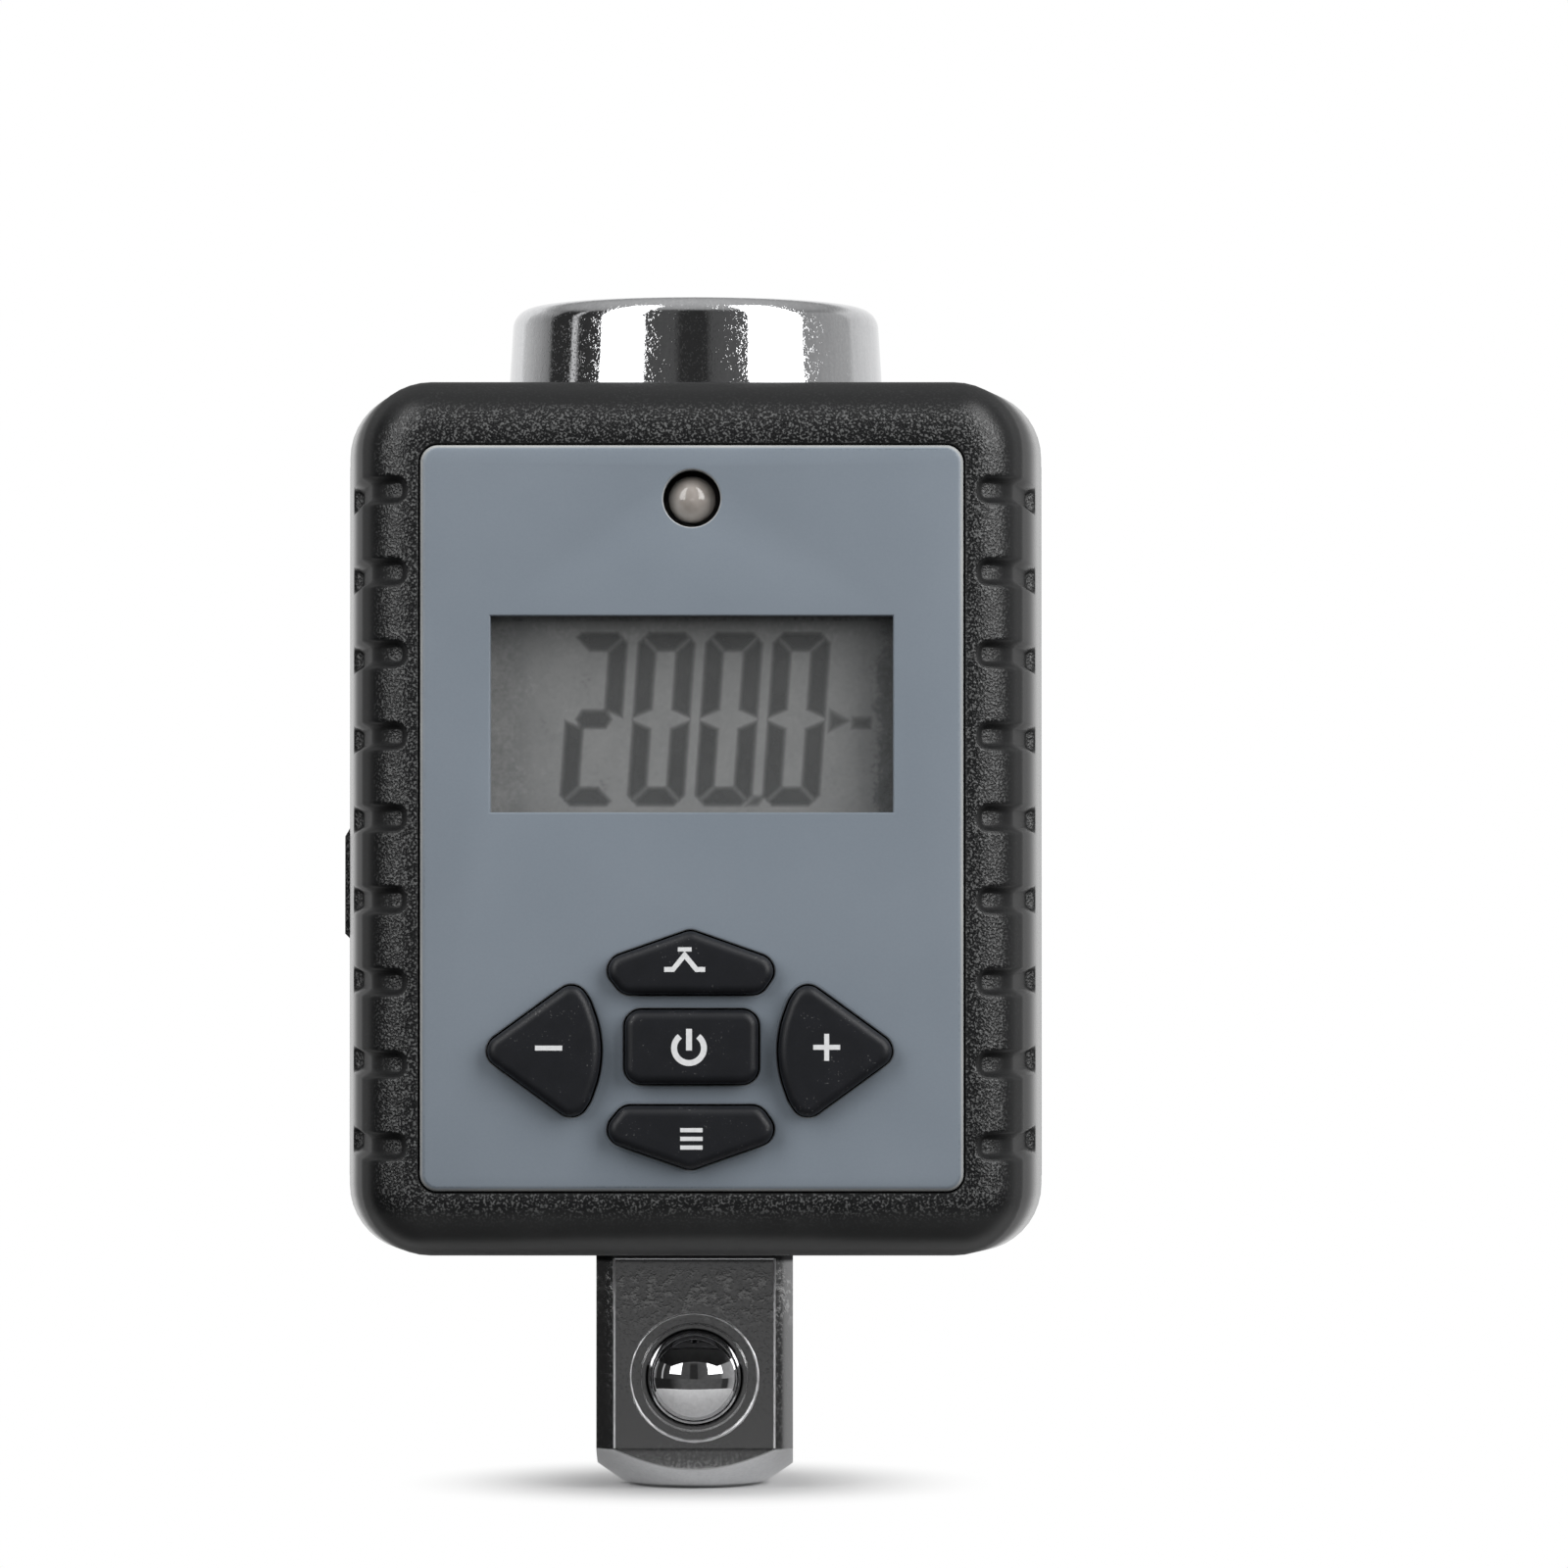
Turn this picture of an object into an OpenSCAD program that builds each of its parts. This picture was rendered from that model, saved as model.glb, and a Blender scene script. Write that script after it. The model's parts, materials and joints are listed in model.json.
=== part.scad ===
// Digital torque adapter: a square-drive shaft with a strain-gauge cell, in a hand-held display case.
// Z runs up the drive axis, the display faces -Y, and the origin is the centre of the male square's end.

/* [Drive shaft] */
// Square drive size, across the flats
drive_af = 12.7; // [12:0.05:13.2]
// Diameter that the corners of the square are turned to
drive_corner_d = 16.4; // [15.8:0.1:17]
// Length of the male square below the case
drive_len = 15.1; // [13.5:0.1:18]
// Diameter of the head that takes the wrench
head_d = 24.4; // [24:0.1:26]
// Height of the head above the case
head_rise = 5.3; // [4:0.1:8]
// Rounding of the head's top edge
head_edge = 1.3; // [1:0.1:2]
// Depth of the square socket in the head
socket_depth = 17; // [15:0.5:19]
// Diameter of the section that twists under load
torsion_d = 14.5; // [13:0.1:15.5]
// Diameter of the journal in the lower bush
journal_d = 19; // [18:0.1:20]

/* [Detent ball] */
// Ball diameter
ball_d = 6.35; // [5.9:0.05:6.6]
// Height of the ball's centre above the end of the square
ball_height = 7.3; // [7:0.1:8.2]
// How far the ball stands out of the flat
ball_rise = 2.3; // [1.8:0.05:2.5]

/* [Case] */
// Room between the battery bay and each side of the case
case_side = 11.5; // [11.3:0.1:14]
// Room between the battery bay, or the face plate if that is taller, and each end of the case
case_end = 4.3; // [4.2:0.1:7]
// Thickness of the case walls
wall = 2; // [1.8:0.1:2.2]
// Corner radius seen from the front
corner_r = 5; // [4.5:0.1:6]
// Rounding of the front edge
front_edge = 3.5; // [3:0.1:4]
// Rounding of the rear edge
back_edge = 2.5; // [2:0.1:2.6]

/* [Grip grooves] */
// Grooves on each side
groove_count = 9; // [1:1:9]
// Spacing of the grooves
groove_pitch = 5.2; // [4.6:0.1:5.3]
// Width of a groove
groove_w = 1.6; // [1:0.1:2]
// Depth of a groove
groove_depth = 0.65; // [0.3:0.05:0.9]

/* [Face plate] */
// Width of the bezel between the face plate and each side of the case
bezel_w = 5.6; // [5.4:0.1:6]
// Height of the face plate above the lamp's hole
plate_over_lamp = 1.55; // [1.4:0.05:2]
// Height of the face plate below the keypad's mat
plate_under_keys = 0.75; // [0.7:0.05:1.2]
// Thickness of the face plate
plate_t = 1.4; // [1.2:0.1:1.8]
// Corner radius of the face plate
plate_corner = 1.1; // [0.5:0.1:2]

/* [Display] */
// Width of the face plate beside the display window
window_side = 4.4; // [4.2:0.1:5]
// Height of the display window
window_h = 12.3; // [11.5:0.1:13]
// Room between the lamp and the display's holder
lamp_to_display = 1.9; // [1.2:0.1:2.4]
// Height of the digits
digit_h = 10.7; // [8:0.1:11]

/* [Keys] */
// Width of the power key
power_w = 8.3; // [7.5:0.1:9]
// Height of the power key
power_h = 4.6; // [4.2:0.1:5.2]
// How far the keys stand out of the face plate
key_rise = 1.2; // [0.9:0.05:2]
// Travel of a key
key_travel = 0.6; // [0.3:0.05:0.7]
// Room between the display's holder and the keypad's mat
display_to_keys = 2.85; // [2.4:0.05:3.2]

/* [Indicator lamp] */
// Lamp diameter
led_d = 3; // [2.8:0.1:3.4]

/* [Batteries] */
// Cell diameter
cell_d = 10.5; // [10:0.1:10.8]
// Cell length
cell_len = 44.5; // [43:0.1:44.8]
// Thickness of the battery door
door_t = 1.6; // [1.4:0.1:2]

/* [Hidden] */
$fn = 48;

// Facets of the forms that are hulled
hull_fn = 32;
// Overrun of every cut
over = 1;
// Thickness of the thin slices that start a hull
slice = 0.05;
// Clearance between pieces that are pushed together
fit = 0.1;
// Clearance round pieces that move
run_gap = 0.15;
// Running clearance of journals and pins, on the radius
journal_gap = 0.05;

// Rise of the case's sides per unit of depth, in the front shell and the rear shell
front_draft_share = 0.106;
back_draft_share = 0.06;
// The same for its top and bottom
end_draft_share = 0.035;

// Where the grooves start on the front edge, and how far in front of the axis they stop
groove_start = 0.9;
groove_stop = 6;

// Height of the face plate, from what it carries, and the place of each from the plate's middle
led_gap = 0.3;
led_flange = 0.45;
lcd_rim_h = 2;
lcd_h = window_h + 2 * lcd_rim_h;
holder_wall = 1.5;
holder_h = lcd_h + 2 * holder_wall;
arrow_tip = 7.3;
menu_drop = 0.4;
key_flange_w = 0.35;
mat_rim = 0.25;
mat_h = 2 * (arrow_tip + menu_drop + key_flange_w + mat_rim);
led_under_top = plate_over_lamp + led_d / 2 + led_gap;
window_under_top = led_under_top + led_d / 2 + led_flange + lamp_to_display + holder_h / 2;
keypad_under_top = window_under_top + holder_h / 2 + display_to_keys + mat_h / 2;
plate_h = keypad_under_top + mat_h / 2 + plate_under_keys;
led_up = plate_h / 2 - led_under_top;
window_up = plate_h / 2 - window_under_top;
keypad_down = keypad_under_top - plate_h / 2;

// Battery bay, which sets the size of the case together with the plate
contact_t = 0.4;
coil_len = 2.3;
cell_gap = 0.5;
cell_spacing = cell_d + cell_gap;
bay_side = 0.35;
bay_w = cell_spacing + cell_d + 2 * bay_side;
bay_len = cell_len + coil_len + 2 * contact_t;
bay_wall = 0.9;
bay_gap = 0.15;
case_w = bay_w + 2 * case_side;
case_h = max(bay_len, plate_h) + 2 * case_end;
plate_w = case_w - 2 * bezel_w;
window_w = plate_w - 2 * window_side;

// Heights along the drive axis
case_bottom = drive_len;
case_top = drive_len + case_h;
mid_z = drive_len + case_h / 2;
head_top = case_top + head_rise;

// Socket and its barrel
socket_gap = 0.1;
socket_af = drive_af + 2 * socket_gap;
socket_chamfer = 0.8;
socket_floor = 3;
socket_detent_r = 2.6;
socket_detent_deep = 1;
detent_z = head_top - drive_len + ball_height;
head_step = 1.08;
head_taper = 0.25;
barrel_d = head_d - 2 * head_step;
barrel_z = head_top - socket_depth - socket_floor;
barrel_cone = (barrel_d - torsion_d) / 2;

// Bushes that carry the case on the shaft
bush_wall = 1.2;
upper_bush_h = 4.4;
lower_bush_h = 4;
upper_bush_d = barrel_d + 2 * (journal_gap + bush_wall);
shoulder_z = case_top - wall - end_draft_share * upper_bush_d / 2 - run_gap;
lower_bush_d = journal_d + 2 * (journal_gap + bush_wall);
cradle_t = 3;
shaft_gap = 0.4;

// Retaining ring and its groove
ring_t = 1;
ring_deep = 0.6;
ring_reach = 1.7;
ring_mouth = 5;
ring_eye_d = 0.7;
ring_eye_angle = 24;
ring_z = case_bottom + wall + end_draft_share * (journal_d / 2 + ring_reach) + run_gap;
lower_bush_z = ring_z + ring_t + run_gap;
flange_z = lower_bush_z + lower_bush_h + journal_gap;
flange_t = 1.2;
flange_rise = 1.1;
flange_d = journal_d + 2 * flange_rise;
flange_cone = (flange_d - torsion_d) / 2;
neck_z = case_bottom + shaft_gap;

// Male square's end
end_r = 3.9;
end_roll = 0.9;
end_roll_h = 0.25;
end_cone_share = 0.7;

// Detent ball, its hole and its staked rim
flat_y = drive_af / 2;
ball_y = flat_y + ball_rise - ball_d / 2;
ball_y_in = ball_d / 2 - ball_rise;
ball_hole_gap = 0.08;
ball_hole_r = ball_d / 2 + ball_hole_gap;
lip_gap = 0.05;
lip_deep = 0.5;
stake_r = 4.15;
stake_rim = 0.35;
stake_deep = 0.18;
spring_wire = 0.5;
spring_turns = 4;
spring_free = 0.25;
spring_side = 0.6;
spring_r = ball_hole_r - spring_wire / 2 - spring_side;
ball_back = flat_y - ball_d;
spring_seat = spring_turns * spring_wire + spring_free;

// Strain gauges and their ribbon
gauge_flat = 0.85;
gauge_flat_len = 14;
gauge_w = 5.4;
gauge_len = 9;
gauge_t = 0.15;
gauge_z = (flange_z + flange_t + flange_cone + barrel_z - barrel_cone) / 2;
gauge_y = torsion_d / 2 - gauge_flat;
ribbon_w = 4;
ribbon_t = 0.2;
ribbon_steps = 12;
ribbon_drop = 7;
ribbon_tail = 1.6;

// Depths in front of the axis, from the board to the face plate
board_t = 1.2;
board_gap = 0.15;
board_back = max(upper_bush_d, lower_bush_d) / 2 + board_gap;
board_front = board_back + board_t;
strip_t = 1.4;
lcd_t = 2;
lcd_back = board_front + strip_t;
shelf_back = lcd_back + lcd_t;
shelf_t = 1.6;
plate_back = shelf_back + shelf_t;
plate_proud = 0.2;
plate_front = plate_back + plate_t;
case_front = plate_front - plate_proud;

// Window, display glass and holder
pane_t = 0.8;
pane_lip = 1.2;
opening_rim = 0.2;
lcd_rim_w = 2.4;
lcd_w = window_w + 2 * lcd_rim_w;
strip_w = 1.6;
strip_end = 1;
strip_in = 0.6;

// Seven-segment digits
digit_count = 4;
digit_t = 0.06;
digit_step = 4.25;
digit_w = 2.5;
segment_w = 0.85;
segment_gap = 0.1;
digit_lean_share = 0.07;
digits_right = 5.1;
digits_down = 0.25;
point_size = 0.7;

// Key outlines, from the keypad's centre
key_corner = 1;
key_gap = 0.2;
arrow_shoulder_x = 5.7;
arrow_shoulder_z = 5.25;
arrow_base_x = 4.3;
arrow_base_z = 3.3;
side_in = 3.55;
side_tip = plate_w / 2 - side_in;
side_near = 5.65;
side_half = 4.5;
side_bulge = 1.6;
side_drop = 0.2;
side_steps = 6;
arc_steps = 5;

// Depth build-up of a key
key_front = plate_front + key_rise;
key_flange_t = 0.8;
key_flange_front = shelf_back - fit;
key_flange_back = key_flange_front - key_flange_t;
key_nub_d = 2;
key_nub_t = 0.5;
key_crown = 0.55;
key_crown_in = 0.6;
crown_steps = 5;
key_switch_x = 9.3;
key_switch_z = 5.4;
switch_front = key_flange_back - key_nub_t - key_travel - fit;
switch_base = 3.6;
switch_base_share = 0.6;
switch_plunger_d = 1.6;
mat_front = key_flange_back - key_travel - fit;
mat_corner = 2;
mat_well = 4.3;

// Indicator lamp
led_len = 6.1;
led_flange_t = 1;

// Screws that join the shells, and the columns that carry them
screw_d = 2.2;
screw_head_d = 4;
screw_head_t = 1.5;
screw_len = 15;
screw_bite = 7;
column_r = 3.1;
boss_r = 2.8;
screw_well_d = screw_head_d + 4 * run_gap;
screw_x = max(bay_w / 2 + bay_wall, upper_bush_d / 2 + journal_gap) + column_r;
screw_down = 6.1;
screw_z = case_h / 2 - screw_down;
screw_seat = screw_len - screw_bite;
mat_side = 0.1;
mat_w = 2 * (screw_x - boss_r - mat_side);
cross_w = 0.6;
cross_deep = 0.8;

// Screws that hold the board
board_screw_d = 1.7;
board_screw_len = 4.2;
board_screw_head_d = 3.2;
board_screw_head_t = 1.1;
board_boss_r = 2;
board_upper_x = 9;
board_upper_z = 19.9;
board_lower_side = 6.4;
board_lower_z = -6.6;
board_places = [[board_upper_x, board_upper_z], [case_w / 2 - board_lower_side, board_lower_z]];
board_edge = 0.7;
board_w = case_w - 2 * (wall + front_draft_share * board_front + board_edge);
board_h = case_h - 2 * (wall + end_draft_share * board_front + board_edge);

// Pieces on the back of the board: x, z, width, height and depth of each, in steps of its grid
chip_step = 0.5;
chips = [
    [-19, 6, 14, 14, 2], [-20, -17, 10, 8, 3], [19, 11, 6, 5, 2],
    [-7, 3, 3, 2, 1], [-7, -3, 3, 2, 1], [7, -9, 3, 2, 1],
];
plug_w = 6;
plug_h = 3.4;
plug_t = 2;
plug_bite = 1.2;
plug_slot = 0.3;
ribbon_y = board_back - plug_t / 2;
plug_z = gauge_z - gauge_len / 2 - ribbon_drop - ribbon_tail - plug_h / 2 - mid_z + plug_bite;
buzzer_d = 8.5;
buzzer_t = 3;
buzzer_side = 7.4;
buzzer_x = board_w / 2 - buzzer_side;
buzzer_z = -3.2;
buzzer_hole_d = 1.6;

// Cells and their contacts, behind the axis
cell_nub_d = 5.2;
cell_nub_t = 1;
bay_front = upper_bush_d / 2 + bay_gap + bay_wall;
cell_y = bay_front + fit + cell_d / 2;
door_back = bay_front + cell_d + 2 * fit + run_gap;
case_back = door_back + door_t;
coil_wire = 0.6;
coil_turns = 3;
coil_r = 3.6;
coil_top_share = 0.6;
contact_side = 0.25;
strap_w = 1.5;
strap_t = 0.3;
strap_len = 6;
strap_x = bay_w / 2 - contact_side - strap_w / 2;
strap_low = mid_z + bay_len / 2 - contact_t - strap_len;
tab_h = 0.8;
tab_reach = 1.1;
tab_gap = 0.1;

// Battery door: the panel, its pivots and the latch tongue on the left side
ledge_x = 1.5;
ledge_z = 0.6;
pivot_r = 0.45;
pivot_len = 0.75;
door_half_w = bay_w / 2 + ledge_x;
door_half_h = bay_len / 2 + ledge_z;
pivot_x = door_half_w - door_t / 2;
pivot_y = door_back + door_t / 2;
tongue_h = 12.6;
tongue_z = -3.4;
tongue_front = 2.4;
tongue_floor = 0.9;
tongue_deep = door_t + run_gap + tongue_floor;
pad_front = 3.2;
pad_back = 12.5;
pad_rise = 0.7;
pad_low = -9.4;
pad_high = 2.6;
pad_low_ramp = 2;
pad_high_ramp = 3.6;
door_rib_count = 5;
door_rib_pitch = 1.8;
door_rib_w = 0.8;
door_rib_deep = 0.35;
door_rib_len = 9;
door_rib_x = -4;

// Battery leads
lead_d = 1.2;
lead_sides = 8;
lead_x = 16;
lead_bend = 1.6;

// Lip that lines up the two shells
lip_t = 0.8;
lip_len = 1.2;
lip_clear = 0.1;
lip_break = 8;

// Extrudes an outline drawn in X and Z between two depths behind the axis
module layer(y_from, y_to) {
    translate([0, y_to, mid_z]) rotate([90, 0, 0]) linear_extrude(y_to - y_from) children();
}

// The same between two depths in front of the axis
module front_layer(back, front) {
    layer(-front, -back) children();
}

// A cylinder on the drive axis between two heights
module turned(d, from, to) {
    translate([0, 0, from]) cylinder(d = d, h = to - from);
}

module rounded(w, h, r) {
    square([w - 2 * r, h], center = true);
    square([w, h - 2 * r], center = true);
    for (x = [-1, 1], z = [-1, 1])
        translate([x * (w / 2 - r), z * (h / 2 - r)]) circle(r);
}

module at_corners(x, z) {
    for (i = [-1, 1], k = [-1, 1]) translate([i * x, k * z]) children();
}

// Rounds the corners of a list of points
function unit(v) = v / norm(v);
function fillet(a, p, b, r) =
    let (
        u = unit(a - p), v = unit(b - p), half = acos(u * v) / 2,
        c = p + unit(u + v) * r / sin(half),
        first = p + u * r / tan(half) - c, last = p + v * r / tan(half) - c
    )
    [for (i = [0:arc_steps]) let (t = i / arc_steps) c + r * unit(first * (1 - t) + last * t)];
function before(i, n) = (i + n - 1) % n;
function after(i, n) = (i + 1) % n;
function rounded_points(p, r) =
    let (n = len(p)) [for (i = [0:n - 1]) each fillet(p[before(i, n)], p[i], p[after(i, n)], r)];

// Moves every edge of a convex outline outwards
function grown(p, by) =
    let (n = len(p)) [
        for (i = [0:n - 1])
            let (u = unit(p[before(i, n)] - p[i]), v = unit(p[after(i, n)] - p[i]), half = acos(u * v) / 2)
            p[i] - unit(u + v) * by / sin(half)
    ];

// A closed skin over rings of points that all have as many points
function ring_faces(rings, n) = [
    for (k = [0:rings - 2], i = [0:n - 1])
        let (a = k * n + i, b = k * n + (i + 1) % n) each [[a, b, b + n], [a, b + n, a + n]]
];
module skin(rings) {
    n = len(rings[0]);
    last = (len(rings) - 1) * n;
    polyhedron(
        points = [for (ring = rings) each ring],
        faces = concat(
            [[for (i = [n - 1:-1:0]) i]],
            ring_faces(len(rings), n),
            [[for (i = [0:n - 1]) last + i]]
        )
    );
}

// A round tube along a path; side is a direction that the path never follows
module tube(path, r, sides, side) {
    last = len(path) - 1;
    skin([
        for (i = [0:last])
            let (
                t = unit(path[min(i + 1, last)] - path[max(i - 1, 0)]),
                u = unit(cross(side, t)), v = cross(u, t)
            )
            [for (k = [0:sides - 1]) let (a = 360 * k / sides) path[i] + r * (u * cos(a) + v * sin(a))]
    ]);
}

// One shell's form, from the seam to its face, with every side moved in
module shell_form(way, depth, edge, slope, inset) {
    round_edge = max(edge - inset, edge / 4);
    centre_y = depth - round_edge;
    half_w = case_w / 2 - inset - slope * centre_y;
    half_h = case_h / 2 - inset - end_draft_share * centre_y;
    r = max(corner_r - inset, round_edge);
    hull() {
        layer(way > 0 ? 0 : -slice, way > 0 ? slice : 0)
            rounded(case_w - 2 * inset, case_h - 2 * inset, r, $fn = hull_fn);
        for (x = [-1, 1], z = [-1, 1])
            translate([x * (half_w - r), way * centre_y, mid_z + z * (half_h - r)])
                rotate([90, 0, 0]) rotate_extrude($fn = hull_fn) intersection() {
                    translate([r - round_edge, 0]) circle(round_edge, $fn = hull_fn);
                    translate([0, -round_edge]) square([r, 2 * round_edge]);
                }
    }
}

module front_form(inset, face_inset) {
    shell_form(-1, case_front - face_inset, front_edge, front_draft_share, inset);
}

module back_form(inset, face_inset) {
    shell_form(1, case_back - face_inset, back_edge, back_draft_share, inset);
}

// Outline of the shells' wall at the seam, drawn in by a distance
module seam_outline(inset) {
    rounded(case_w - 2 * inset, case_h - 2 * inset, corner_r - inset);
}

// Sharp corners of each key, from the keypad's centre
power_points = [
    for (c = [[1, 1], [-1, 1], [-1, -1], [1, -1]]) [c[0] * power_w / 2, c[1] * power_h / 2]
];
peak_points = [
    [0, arrow_tip], [-arrow_shoulder_x, arrow_shoulder_z], [-arrow_base_x, arrow_base_z],
    [arrow_base_x, arrow_base_z], [arrow_shoulder_x, arrow_shoulder_z],
];
menu_points = [
    for (i = [len(peak_points) - 1:-1:0]) [peak_points[i][0], -peak_points[i][1] - menu_drop]
];
side_r = (side_half * side_half + side_bulge * side_bulge) / (2 * side_bulge);
side_sweep = asin(side_half / side_r);
minus_points = concat(
    [[-side_tip, -side_drop]],
    [
        for (i = [0:side_steps])
            let (a = side_sweep * (2 * i / side_steps - 1))
            [-side_near - side_r * (1 - cos(a)), side_r * sin(a) - side_drop]
    ]
);
plus_points = [for (i = [len(minus_points) - 1:-1:0]) [-minus_points[i][0], minus_points[i][1]]];
key_outlines = [power_points, peak_points, menu_points, minus_points, plus_points];
key_centres = [
    [0, 0], [0, key_switch_z], [0, -key_switch_z], [-key_switch_x, 0], [key_switch_x, 0],
];

module key_shape(points, by) {
    translate([0, -keypad_down]) polygon(rounded_points(grown(points, by), key_corner + by));
}

module at_keys() {
    for (c = key_centres) translate([c[0], c[1] - keypad_down]) children();
}

// Holes round the shaft at the top and the bottom of the case
module shaft_passage() {
    turned(head_d + 2 * shaft_gap, shoulder_z - over, case_top + over);
    turned(journal_d + 2 * shaft_gap, case_bottom - over, case_bottom + wall + over);
}

// Ribs across a shell that hold the two bushes: height and bush of each
cradle_places = [
    [shoulder_z - upper_bush_h / 2, upper_bush_d],
    [lower_bush_z + lower_bush_h / 2, lower_bush_d],
];
module cradles(y_from, y_to) {
    for (c = cradle_places)
        difference() {
            translate([-case_w / 2, y_from, c[0] - cradle_t / 2]) cube([case_w, y_to - y_from, cradle_t]);
            turned(c[1] + 2 * journal_gap, c[0] - cradle_t, c[0] + cradle_t);
        }
}

// Grooves that run over the front edge and down each side
module grip_grooves() {
    inner_x = case_w / 2 - front_draft_share * case_front - front_edge + groove_start;
    difference() {
        for (side = [-1, 1], k = [0:groove_count - 1])
            translate([
                side * (inner_x + case_w / 2),
                -(case_front + groove_stop) / 2 - over / 2,
                mid_z + (k - (groove_count - 1) / 2) * groove_pitch
            ])
                cube([case_w, case_front - groove_stop + over, groove_w], center = true);
        front_form(groove_depth, groove_depth);
    }
}
module front_housing() {
    color("#1d1e20") {
        difference() {
            front_form(0, 0);
            front_form(wall, case_front - shelf_back);
            front_layer(plate_back, case_front + over) rounded(plate_w + 2 * fit, plate_h + 2 * fit, plate_corner + fit);
            front_layer(plate_back - pane_t, plate_back + over) pane_outline(fit);
            front_layer(0, plate_back + over) window_outline(opening_rim);
            front_layer(0, plate_back + over) translate([0, led_up]) circle(d = led_d + 2 * led_gap);
            front_layer(0, plate_back + over) for (p = key_outlines) key_shape(p, key_gap);
            front_layer(-over, lip_len + lip_clear) seam_outline(wall - lip_t - lip_clear);
            grip_grooves();
            shaft_passage();
        }
        front_fixings();
    }
}

module front_fixings() {
    intersection() {
        front_form(wall / 2, wall / 2);
        difference() {
            union() {
                front_layer(lip_len + lip_clear, shelf_back) at_corners(screw_x, screw_z) circle(boss_r);
                front_layer(0, lip_len + 2 * lip_clear) at_corners(screw_x, screw_z)
                    circle(boss_r - lip_clear);
                front_layer(board_front, shelf_back) board_holes() circle(board_boss_r);
                cradles(board_gap - board_back, -lip_len - lip_clear);
            }
            front_layer(-over, screw_bite + 2 * over) at_corners(screw_x, screw_z) circle(d = screw_d);
            front_layer(0, board_back + board_screw_len + run_gap) board_holes()
                circle(d = board_screw_d);
        }
    }
}

module board_holes() {
    for (x = [-1, 1], p = board_places) translate([x * p[0], p[1]]) children();
}

module window_outline(by) {
    translate([0, window_up]) square([window_w + 2 * by, window_h + 2 * by], center = true);
}

module pane_outline(by) {
    translate([0, window_up])
        square([window_w + 2 * (pane_lip + by), window_h + 2 * (pane_lip + by)], center = true);
}

module face_plate() {
    color("#7f8894")
        difference() {
            front_layer(plate_back, plate_front) rounded(plate_w, plate_h, plate_corner);
            front_layer(plate_back - over, plate_front + over) {
                window_outline(0);
                translate([0, led_up]) circle(d = led_d + 2 * led_gap);
                for (p = key_outlines) key_shape(p, key_gap);
            }
        }
}

module display_window() {
    color([0.85, 0.9, 0.9, 0.4]) front_layer(plate_back - pane_t, plate_back) pane_outline(0);
}

module lcd_glass() {
    color("#6f7271")
        front_layer(lcd_back, shelf_back) translate([0, window_up]) square([lcd_w, lcd_h], center = true);
}

// Outline of a segment that runs along X, with pointed ends
function segment_points(len) =
    let (half = segment_w / 2, a = segment_gap, b = len - segment_gap)
    [[a, 0], [a + half, -half], [b - half, -half], [b, 0], [b - half, half], [a + half, half]];
module leaning(points) {
    polygon([for (p = points) [p[0] + digit_lean_share * p[1], p[1]]]);
}

// Segments by place: bottom, middle, top, then left and right of the lower and the upper half
module digit(x, lit) {
    half_h = (digit_h - segment_w) / 2;
    for (k = [0:2])
        if (lit[k]) leaning([for (p = segment_points(digit_w)) p + [x, k * half_h]]);
    for (k = [0:1], i = [0:1])
        if (lit[3 + 2 * k + i])
            leaning([for (p = segment_points(half_h)) [x + i * digit_w - p[1], k * half_h + p[0]]]);
}
two = [1, 1, 1, 1, 0, 0, 1];
zero = [1, 0, 1, 1, 1, 1, 1];

module lcd_digits() {
    color("#3a3b3b")
        front_layer(shelf_back, shelf_back + digit_t)
            translate([digits_right, window_up - digits_down - (digit_h - segment_w) / 2]) {
                for (k = [0:digit_count - 1]) digit(-k * digit_step, k == digit_count - 1 ? two : zero);
                translate([(digit_w - digit_step - point_size) / 2, -segment_w / 2]) square(point_size);
            }
}

module lcd_holder() {
    color("#2a2b2c")
        difference() {
            front_layer(board_front, shelf_back) translate([0, window_up])
                square([lcd_w + 2 * holder_wall, holder_h], center = true);
            front_layer(lcd_back - over, shelf_back + over) translate([0, window_up])
                square([lcd_w + 2 * fit, lcd_h + 2 * fit], center = true);
            front_layer(board_front - over, lcd_back + over) translate([0, window_up])
                square([lcd_w - 2 * strip_end, lcd_h - 2 * strip_in], center = true);
        }
}

module contact_strips() {
    color("#b9a3a0")
        front_layer(board_front, lcd_back) translate([0, window_up]) for (z = [-1, 1])
            translate([0, z * (lcd_h / 2 - strip_in - strip_w / 2 - fit)])
                square([lcd_w - 2 * (strip_end + fit), strip_w], center = true);
}

module main_board() {
    notch = boss_r + 4 * fit;
    color("#1f5a35")
        difference() {
            front_layer(board_back, board_front) square([board_w, board_h], center = true);
            front_layer(board_back - over, board_front + over) {
                for (x = [-1, 1], z = [-1, 1])
                    translate([x * (screw_x + board_w / 2 - notch), z * (screw_z + board_h / 2 - notch)])
                        square([board_w, board_h], center = true);
                board_holes() circle(d = board_screw_d + 2 * fit);
            }
        }
}

module board_chips() {
    color("#17181a") {
        for (c = chips * chip_step)
            front_layer(board_back - c[4], board_back) translate([c[0], c[1]])
                square([c[2], c[3]], center = true);
        difference() {
            front_layer(board_back - plug_t, board_back) translate([0, plug_z])
                square([plug_w, plug_h], center = true);
            front_layer(ribbon_y - plug_slot / 2, ribbon_y + plug_slot / 2)
                translate([0, plug_z + plug_h / 2])
                square([ribbon_w + 2 * fit, 2 * (plug_bite + fit)], center = true);
        }
    }
}

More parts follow.
